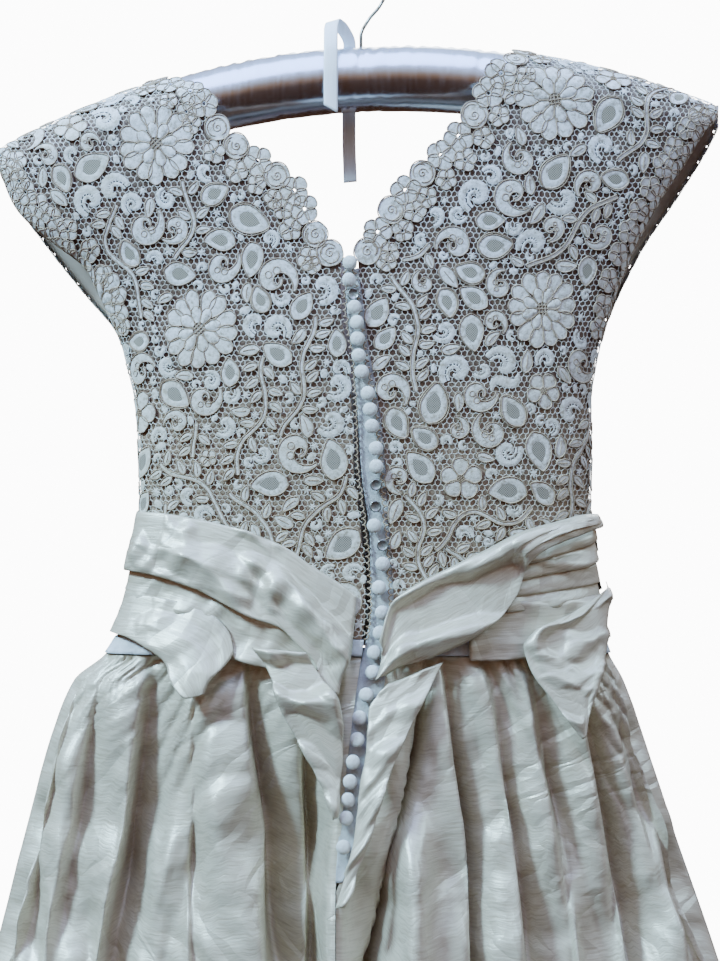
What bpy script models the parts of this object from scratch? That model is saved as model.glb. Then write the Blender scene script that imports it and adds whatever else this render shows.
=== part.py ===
"""A lace and silk wedding dress hanging on a padded satin hanger, seen from its buttoned back.

Lengths are in millimetres until a point is written to a mesh, which is in metres. +Z is up, -Y is the
dress's buttoned back and +X is to the right of someone who looks at that back. The origin is the
inside top of the hanger's hook, where a rail carries it, so the whole dress has negative heights.

Every piece of cloth is a sheet with a Solidify wall. The bodice, waist and skirt follow one body form,
the BODY table of level sections; a piece that lies on another follows the same form, moved out.
"""

import math
from collections import namedtuple

import bmesh
import bpy
import numpy as np

MM = 0.001

# Cloth walls and the gaps between pieces.
LACE_WALL = 1.2
SILK_WALL = 1.2
LINING_WALL = 1.2
SEAM = 0.4  # gap between two pieces at a seam
ROUND = 0.85  # 1 makes each section an ellipse, less makes it squarer

# The hanger: two padded arms that droop from the middle, hung a little out of level.
HANGER_TOP = -68.5
ARM_REACH = 212.0
ARM_TAPER = 34.0  # length of each rounded end
ARM_DROOP = 34.5  # at 193 mm from the middle, on the left
ARM_DROOP_RIGHT = 31.5
DROOP_AT = 193.0
ARM_TILT = 0.0453  # rise for each mm to the right
PAD_RADIUS = 24.0
PAD_CLEARANCE = 3.6  # lace's outer face above the padding's ridge

# The hook: a wire that leaves the padding, leans right and curls over the rail.
HOOK_RADIUS = 21.0  # to the wire's middle
WIRE_RADIUS = 1.2

# Heights of the waist's seams.
LACE_BOTTOM = -503.0
TAPE_TOP = LACE_BOTTOM - SEAM
TAPE_BOTTOM = -515.0
SKIRT_TOP = TAPE_BOTTOM - 3 * SEAM
PHOTO_LEVEL = -745.0  # where the second column of trough places is given
HEM = -1560.0

# Colour, roughness and metallic value of each material.
MATERIALS = {
    "lace": ((0.62, 0.60, 0.53), 0.75, 0.0),
    "silk": ((0.74, 0.71, 0.63), 0.45, 0.0),
    "lining": ((0.58, 0.50, 0.38), 0.70, 0.0),
    "cotton": ((0.66, 0.66, 0.64), 0.85, 0.0),
    "tape": ((0.78, 0.78, 0.82), 0.60, 0.0),
    "satin": ((0.66, 0.64, 0.72), 0.30, 0.0),
    "ribbon": ((0.82, 0.86, 0.88), 0.35, 0.0),
    "wire": ((0.30, 0.28, 0.25), 0.30, 1.0),
    "shell": ((0.36, 0.37, 0.36), 0.45, 0.8),
}

# Level sections of the body form: height, x of the left and right outlines, depth behind and in front.
Section = namedtuple("Section", "z left right back front")
BODY = [
    Section(-225, -187.0, 187.0, 40.5, 42),
    Section(-285, -177.5, 177.5, 43.5, 47),
    Section(-330, -166.5, 169.5, 45, 51),
    Section(-375, -163.5, 170.0, 45, 49),
    Section(-415, -163.0, 169.0, 44, 45),
    Section(-450, -165.0, 170.0, 44, 44),
    Section(-485, -173.0, 175.0, 46, 46),
    Section(-516, -189.0, 184.0, 50, 50),
    Section(-536, -213.0, 195.0, 56, 56),
    Section(-581, -231.0, 211.0, 65, 64),
    Section(-640, -247.0, 230.0, 76, 74),
    Section(-745, -274.0, 266.0, 95, 92),
    Section(-900, -318.0, 311.0, 124, 118),
    Section(-1150, -382.0, 377.0, 170, 160),
    Section(-1560, -468.0, 464.0, 232, 220),
]

# Shoulder rows of the back's two panels, from the shoulder seam down to the underarm: the neck edge,
# the sleeve edge, the depth of the panel between them, and half the sleeve's opening.
Shoulder = namedtuple("Shoulder", "neck_x neck_z sleeve_x sleeve_z depth cuff")
BACK_LEFT_SHOULDER = [
    Shoulder(-149, None, -268, None, -0.6, 1.2),
    Shoulder(-141, -94.5, -267, -147, 10.5, 5.5),
    Shoulder(-128, -99.0, -266, -155, 19, 8.0),
    Shoulder(-112, -106.0, -262, -168, 26, 9.5),
    Shoulder(-101, -126.0, -254, -187, 27, 9.0),
    Shoulder(-82, -144.5, -240, -203, 28, 9.5),
    Shoulder(-62, -158.5, -222, -217, 30, 8.5),
    Shoulder(-39, -180.0, -203, -232, 33, 6.5),
    Shoulder(-29, -204.0, -190, -257, 36.5, 3.5),
]
BACK_RIGHT_SHOULDER = [
    Shoulder(115, None, 263.5, None, -0.6, 1.2),
    Shoulder(111, -75.0, 263, -115, 10.5, 5.5),
    Shoulder(105, -81.0, 261, -122, 19, 8.0),
    Shoulder(96, -89.0, 253, -132, 26, 9.5),
    Shoulder(83, -110.0, 243, -147, 27, 9.0),
    Shoulder(66, -134.0, 233, -163, 28, 9.5),
    Shoulder(46, -155.5, 220, -182, 30, 8.5),
    Shoulder(26, -175.0, 206, -208, 33, 6.5),
    Shoulder(11, -198.0, 191, -242, 36.5, 3.5),
]
FRONT_LEFT_SHOULDER = [
    Shoulder(-149, None, -268, None, -0.6, 1.2),
    Shoulder(-143, -95.5, -268, -148, 10.5, 5.5),
    Shoulder(-134, -101.0, -268, -157, 19, 8.0),
    Shoulder(-122, -111.0, -265, -173, 26, 9.5),
    Shoulder(-98, -152.0, -247, -214, 30, 11.0),
    Shoulder(-56, -192.0, -211, -249, 35, 8.0),
]
FRONT_RIGHT_SHOULDER = [
    Shoulder(115, None, 263.5, None, -0.6, 1.2),
    Shoulder(113, -75.5, 264, -115.5, 10.5, 5.5),
    Shoulder(109, -82.0, 265, -124, 19, 8.0),
    Shoulder(102, -93.0, 263, -139, 26, 9.5),
    Shoulder(84, -140.0, 246, -174, 30, 11.0),
    Shoulder(46, -188.0, 213, -222, 35, 8.0),
]

# Rows of the bodice below the shoulders: height at the middle and at the side seam.
Level = namedtuple("Level", "middle side")
BACK_LEVELS = [
    Level(-229, -285),
    Level(-262, -305),
    Level(-300, -330),
    Level(-342, -356),
    Level(-377, -380),
    Level(-415, -415),
    Level(-450, -450),
    Level(-485, -485),
    Level(LACE_BOTTOM, LACE_BOTTOM),
]
FRONT_LEVELS = [
    Level(-243, -285),
    Level(-285, -312),
    Level(-333, -340),
    Level(-377, -378),
    Level(-415, -415),
    Level(-450, -450),
    Level(-485, -485),
    Level(LACE_BOTTOM, LACE_BOTTOM),
]

# The back's opening, top to bottom: the left panel's edge, the placket's left side and the right
# panel's edge.
Opening = namedtuple("Opening", "z left_edge placket right_edge")
OPENING = [
    Opening(-228, -13.5, -12.5, -4.0),
    Opening(-252, -14.0, -11.5, -1.0),
    Opening(-295, -8.5, -7.0, 4.5),
    Opening(-332, -5.6, -3.0, 11.5),
    Opening(-385, -4.0, 0.5, 17.0),
    Opening(-430, 2.2, 6.5, 20.0),
    Opening(-480, 5.0, 7.0, 23.0),
    Opening(-507, 1.5, 3.0, 20.0),
    Opening(-537, -3.0, -4.5, 15.0),
    Opening(-567, -7.0, -8.5, 8.0),
    Opening(-596, -10.5, -12.0, 2.0),
    Opening(-626, -13.0, -14.5, -1.5),
    Opening(-655, -16.0, -17.0, -8.0),
    Opening(-678, -18.0, -18.5, -17.6),
]
PLACKET_TOP = -236.0
PLACKET_BOTTOM = -672.0
PLACKET_DEPTH = -2.4  # its outer face, inside the lace's
PLACKET_UNDERLAP = 1.5  # how far it runs under the right panel
LOWER_SEAM = -690.0  # from here down the two back panels of the skirt meet
SEAM_X = -17.8  # of that seam at PHOTO_LEVEL
EDGE_FLAT = 3.5  # width of the flat edge along the opening and the seam
CENTRE_FADE = 7.0  # the folds grow over this distance from the flat

# The strapless lining's top edge, by distance from the middle.
LiningTop = namedtuple("LiningTop", "x z")
LINING_TOP = [
    LiningTop(0, -322),
    LiningTop(55, -300),
    LiningTop(90, -302),
    LiningTop(130, -326),
    LiningTop(190, -356),
]
LINING_OUT = -3.4
LINING_LEVELS = [-382, -415, -450, -485, LACE_BOTTOM]

# Deep troughs of the skirt's folds: x at the waist and at PHOTO_LEVEL, depth and half-width there.
Trough = namedtuple("Trough", "waist_x level_x depth half_width")
BACK_TROUGHS = [
    Trough(-206, -252, 14, 9),
    Trough(-190, -222, 16, 10),
    Trough(-152, -178, 34, 20),
    Trough(-122, -116, 8, 7),
    Trough(-78, -68, 38, 15),
    Trough(-44, -34, 14, 7),
    Trough(46, -3, 32, 10),
    Trough(56, 80, 28, 9),
    Trough(88, 124, 20, 10),
    Trough(124, 158, 9, 8),
    Trough(152, 194, 32, 12),
    Trough(176, 248, 20, 10),
]
FRONT_TROUGHS = [
    Trough(-188, -236, 26, 12),
    Trough(-160, -192, 20, 10),
    Trough(-128, -146, 34, 13),
    Trough(-92, -112, 16, 10),
    Trough(-62, -64, 32, 13),
    Trough(-26, -20, 22, 10),
    Trough(12, 24, 34, 13),
    Trough(46, 66, 14, 9),
    Trough(80, 104, 32, 12),
    Trough(118, 150, 22, 11),
    Trough(150, 190, 34, 12),
    Trough(174, 232, 20, 11),
]

# Sash bands on the body form: at each place across, the top and bottom edges and how far each
# stands out. The left bands run from the side to the opening, and so do the right ones.
Band = namedtuple("Band", "x top bottom out_top out_bottom")
SASH_LEFT_UPPER = [
    Band(-200, -411, -452, 2.2, 8.0),
    Band(-156, -412, -456, 2.2, 8.0),
    Band(-115, -418, -467, 2.2, 8.5),
    Band(-75, -429, -486, 2.2, 9.0),
    Band(-52, -439, -494, 2.2, 9.5),
    Band(-38, -449, -506, 2.2, 9.5),
    Band(-23, -458, -520, 2.2, 8.5),
    Band(-12, -465, -537, 2.2, 7.5),
    Band(-3, -472, -541, 2.2, 6.0),
    Band(3.5, -477, -516, 2.2, 5.0),
]
SASH_LEFT_MIDDLE = [
    Band(-200, -442, -478, 2.2, 2.2),
    Band(-150, -447, -483, 2.2, 2.2),
    Band(-110, -458, -489, 2.2, 2.2),
    Band(-84, -474, -494, 2.2, 2.2),
]
SASH_LEFT_LOWER = [
    Band(-200, -470, -500, 4.2, 6.0),
    Band(-156, -472, -511, 4.2, 6.0),
    Band(-134, -475, -518, 4.2, 6.5),
    Band(-115, -480, -523, 4.4, 8.5),
    Band(-100, -486, -533, 4.6, 11.0),
    Band(-87, -497, -544, 4.8, 12.0),
    Band(-78, -512, -541, 6.0, 11.0),
]
SASH_RIGHT_UPPER = [
    Band(17, -505, -532, 5.0, 7.0),
    Band(22, -480, -528, 2.6, 7.0),
    Band(30, -472, -522, 2.6, 7.5),
    Band(51, -459, -514, 2.6, 9.0),
    Band(81, -445, -498, 2.6, 10.5),
    Band(106, -432, -471, 3.4, 10.5),
    Band(115, -429, -449, 4.4, 10.0),
    Band(129, -424, -437, 5.0, 9.5),
    Band(148, -418, -429, 5.2, 9.0),
    Band(200, -409, -417, 5.2, 8.5),
]
SASH_RIGHT_LOWER = [
    Band(74, -480, -506, 3.0, 3.4),
    Band(92, -477, -505, 3.0, 3.8),
    Band(115, -476, -500, 3.0, 3.8),
    Band(150, -474, -499, 3.0, 3.4),
    Band(200, -470, -501, 3.0, 3.2),
]
# Pleats of the right side, top to bottom: height at the side and at the inner end, and standing out.
Pleat = namedtuple("Pleat", "side_z inner_z out")
SASH_RIGHT_PLEATS = [
    Pleat(-420, -446, 2.2),
    Pleat(-431, -453, 4.6),
    Pleat(-433, -455, 2.2),
    Pleat(-446, -462, 4.8),
    Pleat(-448, -464, 2.2),
    Pleat(-466, -472, 4.2),
]
PLEATS_INNER_X = 100.0
SASH_FRONT_PLEATS = [
    Pleat(-411, -421, 2.2),
    Pleat(-441, -452, 6.6),
    Pleat(-443, -454, 2.6),
    Pleat(-469, -482, 6.8),
    Pleat(-471, -484, 2.6),
    Pleat(-500, -512, 5.6),
]

# Strips that hang free, top to bottom: height of each side, its x, and how far it stands out.
Strip = namedtuple("Strip", "left_x left_z right_x right_z out_left out_right")
SASH_LEFT_TAIL = [
    Strip(-71, -508, -37, -512, 10.5, 12.5),
    Strip(-60, -532, -26, -530, 11.0, 12.0),
    Strip(-54, -552, -17, -546, 11.0, 10.5),
    Strip(-44, -572, -13, -564, 9.5, 9.0),
    Strip(-33, -592, -12.5, -586, 8.0, 7.5),
    Strip(-24, -611, -15.4, -606, 6.5, 6.0),
    Strip(-20, -628, -17.4, -626, 5.5, 5.5),
]
SASH_RIGHT_FLAP = [
    Strip(133, -492, 178, -463, 8.5, 9.0),
    Strip(110, -508, 170, -490, 10.5, 10.5),
    Strip(114, -524, 167, -512, 11.5, 12.0),
    Strip(126, -543, 160, -532, 12.5, 13.0),
    Strip(139, -561, 154, -552, 13.0, 13.0),
    Strip(148, -573, 151, -571, 13.0, 13.0),
]
PLACKET_FACING = [
    Strip(19, -534, 57, -519, 4.6, 4.6),
    Strip(5, -552, 43, -545, 5.0, 7.5),
    Strip(4, -574, 31, -568, 5.4, 10.0),
    Strip(1, -597, 21, -591, 5.6, 11.0),
    Strip(-2.5, -619, 13, -614, 5.8, 11.0),
    Strip(-6.5, -648, 5, -644, 5.4, 9.0),
    Strip(-14, -675, -6, -672, 4.6, 6.0),
    Strip(-18, -688, -11, -686, 4.0, 4.6),
]

# The ribbon tied at the hook: its middle line, then the half-width as it lies, across and up.
Ribbon = namedtuple("Ribbon", "x y z half_x half_z")
RIBBON = [
    Ribbon(-22.0, -28.5, -119, 5.0, 0.5),
    Ribbon(-22.0, -28.5, -94, 5.0, 0.0),
    Ribbon(-22.0, -26.5, -76, 5.0, 0.0),
    Ribbon(-22.0, -19.0, -60, 5.0, 0.0),
    Ribbon(-20.0, -9.0, -51, 4.6, 1.6),
    Ribbon(-13.0, -2.0, -56, 3.2, 3.6),
    Ribbon(-8.5, 6.0, -65, 4.4, 1.6),
    Ribbon(-8.5, 15.0, -71.5, 5.0, 0.0),
    Ribbon(-9.0, 24.0, -81, 5.0, 0.0),
    Ribbon(-9.0, 27.5, -97, 5.0, 0.0),
    Ribbon(-9.0, 27.0, -130, 5.0, 0.0),
    Ribbon(-8.0, 25.5, -165, 5.0, 0.5),
]
RIBBON_WALL = 0.8

# Covered buttons down the placket: place, then whether the cover is lost and the shell shows.
Button = namedtuple("Button", "x z bare tip")
BUTTONS = [
    Button(-8.0, -232, False, 0),
    Button(-9.0, -245, False, 25),
    Button(-5.5, -255, True, 0),
    Button(-5.0, -264.5, False, 10),
    Button(-2.5, -275.5, False, -20),
    Button(-2.5, -287, False, 0),
    Button(-1.8, -299.5, False, 8),
    Button(0.5, -311, False, 0),
    Button(5.2, -326.5, False, -12),
    Button(6.5, -338, False, 0),
    Button(7.7, -350, False, 6),
    Button(10.7, -366, False, 0),
    Button(11.0, -379, False, -8),
    Button(10.7, -392, True, 0),
    Button(10.0, -407.5, True, 10),
    Button(9.5, -421.5, False, 0),
    Button(15.5, -435.5, True, 0),
    Button(15.5, -449, False, 0),
    Button(13.0, -466, False, -10),
    Button(14.7, -484, False, 14),
    Button(13.6, -498.5, False, 0),
    Button(9.5, -512.5, False, 0),
    Button(8.0, -526.5, False, 6),
    Button(3.8, -542, False, 0),
    Button(-1.0, -558, False, 0),
    Button(-2.4, -573, False, -15),
    Button(-6.2, -588.5, False, 18),
    Button(-8.2, -602, False, 24),
    Button(-9.8, -614.5, False, 24),
    Button(-11.0, -627, False, 24),
    Button(-12.6, -647, False, 12),
]
BUTTON_RADIUS = 5.3
BUTTON_HEIGHT = 4.6
SHELL_RADIUS = 4.3
SHELL_HEIGHT = 2.8
SHANK_RADIUS = 1.1
BUTTON_SIDES = 7
BUTTON_OUT = 0.6  # the button's flat underside, outside the lace's outer face

# Places of the columns across each half of the body, as angles from its middle to its side seam.
COLUMNS = np.radians([0, 13, 26, 39, 52, 64, 74, 82, 90])
SIDE_FLAT = 82 / 90  # each side of a section is flat for its last column
SIDE_COLUMNS = np.radians([76, 83, 87, 90])
LEAST_STEP = math.radians(1.0)
SIDE_FOLD_AT, SIDE_FOLD_HALF, SIDE_FOLD_DEPTH = 76.0, 5.5, 15.0  # degrees, degrees, millimetres
SKIRT_LEVELS = [-524, -536, -556, -581, -612, -640, -678, -712, -745, -830, -1000, -1260, HEM]


def column(table, name):
    """One named column of a table, as an array."""
    return np.array([getattr(row, name) for row in table], float)


def along(table, name, place, key="z"):
    """The named column read at a place, straight between the table's rows."""
    keys = column(table, key)
    order = np.argsort(keys)
    return float(np.interp(place, keys[order], column(table, name)[order]))


def across(angle):
    """How far across its half a section has come at an angle: 1 on the flat of its side."""
    return math.sin(max(-math.pi / 2, min(math.pi / 2, angle / SIDE_FLAT)))


def body_point(z, angle, side, out=0.0):
    """A point of the body form. angle runs from -90 to 90 degrees, left seam to right seam; side is -1
    behind and 1 in front; out is the distance outside the form."""
    left, right = along(BODY, "left", z) - out, along(BODY, "right", z) + out
    depth = along(BODY, "back" if side < 0 else "front", z) + out
    x = (left + right) / 2 + (right - left) / 2 * across(angle)
    gap = SEAM / 2 + 0.1 * max(out, 0.0)
    return (x, side * (gap + depth * max(math.cos(angle), 0.0) ** ROUND), z)


def angle_at(z, x):
    """The angle at which the body form reaches x at height z."""
    left, right = along(BODY, "left", z), along(BODY, "right", z)
    return SIDE_FLAT * math.asin(max(-1.0, min(1.0, (2 * x - left - right) / (right - left))))


def ridge(x):
    """Height of the padding's top line at x."""
    droop = ARM_DROOP if x < 0 else ARM_DROOP_RIGHT
    return HANGER_TOP - droop * (x / DROOP_AT) ** 2 + ARM_TILT * x


def pad_radius(x):
    """The padding's radius at x, which rounds off to nothing at each end."""
    past = max(0.0, abs(x) - (ARM_REACH - ARM_TAPER)) / ARM_TAPER
    return PAD_RADIUS * math.sqrt(max(0.0, 1 - past**2))


def padding_reach(x, z):
    """How far the padding reaches from the middle plane at x and z, or 0 clear of it."""
    up = z - (ridge(x) - PAD_RADIUS)
    return math.sqrt(max(0.0, pad_radius(x) ** 2 - up**2))


def shoulder_row(row, share, side):
    """One row of a shoulder, neck edge to sleeve edge. share is 0 at the shoulder seam and 1 at the
    underarm; the seam's curve over the hanger fades out on the way."""
    ends = [(row.neck_x, row.neck_z), (row.sleeve_x, row.sleeve_z)]
    seam_z = [ridge(x) + PAD_CLEARANCE for x, _ in ends]
    (x0, z0), (x1, z1) = [
        (x, seam if z is None else z) for (x, z), seam in zip(ends, seam_z)
    ]
    points = []
    for angle in COLUMNS:
        place = across(angle)
        x = x0 + (x1 - x0) * place
        bow = ridge(x) + PAD_CLEARANCE - (seam_z[0] + (seam_z[1] - seam_z[0]) * place)
        z = z0 + (z1 - z0) * place + bow * (1 - share) ** 2
        y = row.cuff + row.depth * max(math.cos(angle), 0.0) ** ROUND
        if share > 0:
            y = max(y, padding_reach(x, z) + PAD_CLEARANCE + LACE_WALL)
        points.append((x, side * y, z))
    return points


def torso_row(level, hand, side, edge=None, out=0.0):
    """One row of a bodice panel, from the middle or the opening's edge to the side seam. hand is -1 on
    the left and 1 on the right."""
    start = 0.0 if edge is None else hand * angle_at(level.middle, edge)
    points = []
    for angle in [start, *COLUMNS[1:]]:
        z = level.middle + (level.side - level.middle) * across(angle) ** 2
        points.append(body_point(z, hand * angle, side, out))
    return points


def as_seen(rows, hand, side):
    """Rows with their columns in the order that points the faces out."""
    return [row if hand * side < 0 else row[::-1] for row in rows]


def material(name):
    made = bpy.data.materials.get(name)
    if made:
        return made
    colour, roughness, metallic = MATERIALS[name]
    made = bpy.data.materials.new(name)
    made.use_nodes = True
    shader = made.node_tree.nodes["Principled BSDF"]
    shader.inputs["Base Color"].default_value = (*colour, 1.0)
    shader.inputs["Roughness"].default_value = roughness
    shader.inputs["Metallic"].default_value = metallic
    made.diffuse_color = (*colour, 1.0)
    return made


def add_object(name, mesh, surface):
    made = bpy.data.objects.new(name, mesh)
    made.data.materials.append(material(surface))
    bpy.context.scene.collection.objects.link(made)
    return made


def cloth(name, patches, surface, wall):
    """A sheet of cloth from patches of points, rows by columns, welded where patches share points. Its
    wall goes inwards from those points."""
    mesh = bmesh.new()
    for rows in patches:
        grid = [[mesh.verts.new([v * MM for v in point]) for point in row] for row in rows]
        for upper, lower in zip(grid, grid[1:]):
            for j in range(len(upper) - 1):
                mesh.faces.new((upper[j], lower[j], lower[j + 1], upper[j + 1]))
    bmesh.ops.remove_doubles(mesh, verts=mesh.verts, dist=0.02 * MM)
    data = bpy.data.meshes.new(name)
    mesh.to_mesh(data)
    mesh.free()
    data.shade_smooth()
    made = add_object(name, data, surface)
    solid = made.modifiers.new("wall", "SOLIDIFY")
    solid.thickness = wall * MM
    solid.offset = -1
    return made


def lace_bodice():
    """Two back panels that part at the opening, and a front, each with its cap sleeves cut in one."""
    for name, hand, shoulder, edge in (
        ("lace_back_left", -1, BACK_LEFT_SHOULDER, "left_edge"),
        ("lace_back_right", 1, BACK_RIGHT_SHOULDER, "right_edge"),
    ):
        rows = [
            shoulder_row(row, i / len(shoulder), -1) for i, row in enumerate(shoulder)
        ]
        rows += [
            torso_row(level, hand, -1, along(OPENING, edge, level.middle))
            for level in BACK_LEVELS
        ]
        cloth(name, [as_seen(rows, hand, -1)], "lace", LACE_WALL)
    patches = []
    for hand, shoulder in ((-1, FRONT_LEFT_SHOULDER), (1, FRONT_RIGHT_SHOULDER)):
        rows = [shoulder_row(row, i / len(shoulder), 1) for i, row in enumerate(shoulder)]
        rows += [torso_row(level, hand, 1) for level in FRONT_LEVELS]
        patches.append(as_seen(rows, hand, 1))
    cloth("lace_front", patches, "lace", LACE_WALL)


def lining_rows(hand, side, edge_at):
    """Rows of the strapless lining, from its shaped top edge to the waist."""
    rows = []
    for level in (None, *LINING_LEVELS):
        row = []
        for column_angle in COLUMNS:
            height = -330 if level is None else level
            start = hand * angle_at(height, edge_at(height))
            angle = column_angle if column_angle > COLUMNS[0] else start
            from_middle = abs(body_point(height, hand * angle, side)[0])
            z = along(LINING_TOP, "z", from_middle, "x") if level is None else level
            row.append(body_point(z, hand * angle, side, LINING_OUT))
        rows.append(row)
    return rows


def underbodice():
    """The strapless lining that shows through the lace."""

    def left_edge(z):
        return min(along(OPENING, "left_edge", z), along(OPENING, "placket", z)) - 1.5

    def right_edge(z):
        return along(OPENING, "right_edge", z) + PLACKET_UNDERLAP + 1.0

    for name, hand, edge_at in (
        ("underbodice_back_left", -1, left_edge),
        ("underbodice_back_right", 1, right_edge),
    ):
        rows = lining_rows(hand, -1, edge_at)
        cloth(name, [as_seen(rows, hand, -1)], "lining", LINING_WALL)

    def middle(_):
        return (along(BODY, "left", -330) + along(BODY, "right", -330)) / 2

    patches = [as_seen(lining_rows(hand, 1, middle), hand, 1) for hand in (-1, 1)]
    cloth("underbodice_front", patches, "lining", LINING_WALL)


def on_back(x, z, out):
    """A point on the back of the body form at x and z, moved out."""
    return body_point(z, angle_at(z, x), -1, out)


def placket():
    """The strip under the opening that carries the buttons."""
    rows = []
    bends = sorted({row.z for row in BODY} | {row.z for row in OPENING}, reverse=True)
    inside = [z for z in bends if PLACKET_BOTTOM + 8 < z < PLACKET_TOP - 8]
    for z in [PLACKET_TOP, *inside, PLACKET_BOTTOM]:
        left = along(OPENING, "placket", z)
        right = along(OPENING, "right_edge", z) + PLACKET_UNDERLAP
        rows.append([on_back(x, z, PLACKET_DEPTH) for x in (left, (left + right) / 2, right)])
    cloth("button_placket", [rows], "cotton", 1.0)


def waist_tape():
    """The tape inside the waist that the skirt is gathered on, open at the placket."""
    patches = []
    for hand, edge in ((-1, "left_edge"), (1, "right_edge")):
        for side in (-1, 1):
            at = along(OPENING, edge, TAPE_TOP) if side < 0 else None
            levels = [Level(z, z) for z in (TAPE_TOP, TAPE_BOTTOM)]
            rows = [torso_row(level, hand, side, at) for level in levels]
            rows = [row[:-1] + [(row[-1][0], 0.0, row[-1][2])] for row in rows]
            patches.append(as_seen(rows, hand, side))
    cloth("waist_tape", patches, "tape", 1.0)


def spread_at(z):
    """How much wider the skirt is at z than at PHOTO_LEVEL, and never less than 1."""
    width_now = along(BODY, "right", z) - along(BODY, "left", z)
    width_there = along(BODY, "right", PHOTO_LEVEL) - along(BODY, "left", PHOTO_LEVEL)
    return max(1.0, width_now / width_there)


def opening_edge(z, hand):
    """x of the skirt back's edge at the centre: the opening's edge, or the seam below it."""
    if z > LOWER_SEAM:
        return along(OPENING, "left_edge" if hand < 0 else "right_edge", z)
    return SEAM_X * spread_at(z) + hand * SEAM / 2


def trough_depth(troughs, x, z):
    """How far the skirt's folds go in at x and z. A trough starts shallow at the waist, and past
    PHOTO_LEVEL it spreads with the skirt."""
    spread = spread_at(z)
    down = min(1.0, (SKIRT_TOP - z) / (SKIRT_TOP - PHOTO_LEVEL))
    grown = min(1.0, 0.25 + 1.6 * down) if z < SKIRT_TOP - 2 else 0.0
    total = 0.0
    for trough in troughs:
        middle = (trough.waist_x + (trough.level_x - trough.waist_x) * down) * spread
        half = trough.half_width * spread * (0.6 + 0.4 * down)
        total += trough.depth * spread * grown * math.exp(-(((x - middle) / half) ** 2))
    return total


def skirt_point(angle, z, side, troughs):
    """A point of the skirt: the body form with its folds pressed in, but not at the centre back."""
    x, y, z = body_point(z, angle, side)
    depth = trough_depth(troughs, x, z) * max(math.cos(angle), 0.0) ** 0.5
    if side < 0:
        hand = 1 if x > (opening_edge(z, -1) + opening_edge(z, 1)) / 2 else -1
        inside = max(0.0, hand * (x - opening_edge(z, hand)) - EDGE_FLAT)
        depth *= 1 - math.exp(-((inside / CENTRE_FADE) ** 2))
    depth = min(depth, 0.55 * abs(y))
    grown = min(1.0, (SKIRT_TOP - z) / 120)
    off = math.degrees(abs(angle)) - SIDE_FOLD_AT
    tuck = SIDE_FOLD_DEPTH * grown * spread_at(z) * math.exp(-((off / SIDE_FOLD_HALF) ** 2))
    return (x - math.copysign(tuck, angle), y - side * depth, z)


def fold_lines(troughs):
    """Lines that the skirt's columns follow, as x at the waist and at PHOTO_LEVEL: each trough's middle
    and both its flanks, or one line where the flanks of two neighbours meet."""
    lines = []
    for trough in troughs:
        reach = 1.25 * trough.half_width
        left = (trough.waist_x - 0.6 * reach, trough.level_x - reach)
        if lines and min(left[0] - lines[-1][0], left[1] - lines[-1][1]) < 5:
            last = lines.pop()
            left = ((left[0] + last[0]) / 2, (left[1] + last[1]) / 2)
        elif lines and left[1] - lines[-1][1] > 26:
            last = lines[-1]
            lines.append(((left[0] + last[0]) / 2, (left[1] + last[1]) / 2))
        lines += [left, (trough.waist_x, trough.level_x)]
        lines.append((trough.waist_x + 0.6 * reach, trough.level_x + reach))
    return lines


def spaced(angles):
    """The same angles, moved just enough that none after the second is closer than LEAST_STEP to the
    one before it."""
    angles = list(angles)
    for i in range(2, len(angles)):
        angles[i] = max(angles[i], angles[i - 1] + LEAST_STEP)
    angles[-1] = math.pi / 2
    for i in range(len(angles) - 2, 1, -1):
        angles[i] = min(angles[i], angles[i + 1] - LEAST_STEP)
    return angles


def skirt_row(z, side, troughs, lines, start=None, hand=0):
    """One row of a skirt panel. hand picks the back's half, from its edge at start to the side."""
    down = min(1.0, (SKIRT_TOP - z) / (SKIRT_TOP - PHOTO_LEVEL))
    places = [(waist + (level - waist) * down) * spread_at(z) for waist, level in lines]
    if hand:
        flat = hand * angle_at(z, start + hand * (EDGE_FLAT - 0.3))
        chosen = sorted(hand * angle_at(z, x) for x in places)
        angles = spaced([hand * angle_at(z, start), flat, *chosen, *SIDE_COLUMNS])
        return [skirt_point(hand * a, z, side, troughs) for a in angles]
    right = [angle_at(z, x) for x in places if x >= 0]
    left = [-angle_at(z, x) for x in places if x < 0][::-1]
    right, left = (spaced([0.0, *half, *SIDE_COLUMNS])[1:] for half in (right, left))
    return [skirt_point(a, z, side, troughs) for a in [*right[::-1], *[-a for a in left]]]


def skirt():
    """Two back panels that part at the opening and are seamed below it, and a front."""
    levels = [SKIRT_TOP, *SKIRT_LEVELS]
    lines = fold_lines(BACK_TROUGHS)
    for name, hand in (("skirt_back_left", -1), ("skirt_back_right", 1)):
        own = [line for line in lines if hand * (line[1] - SEAM_X) > EDGE_FLAT + 1]
        rows = [
            skirt_row(z, -1, BACK_TROUGHS, own, opening_edge(z, hand), hand) for z in levels
        ]
        cloth(name, [as_seen(rows, hand, -1)], "silk", SILK_WALL)
    lines = fold_lines(FRONT_TROUGHS)
    rows = [skirt_row(z, 1, FRONT_TROUGHS, lines) for z in levels]
    cloth("skirt_front", [rows], "silk", SILK_WALL)


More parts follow.
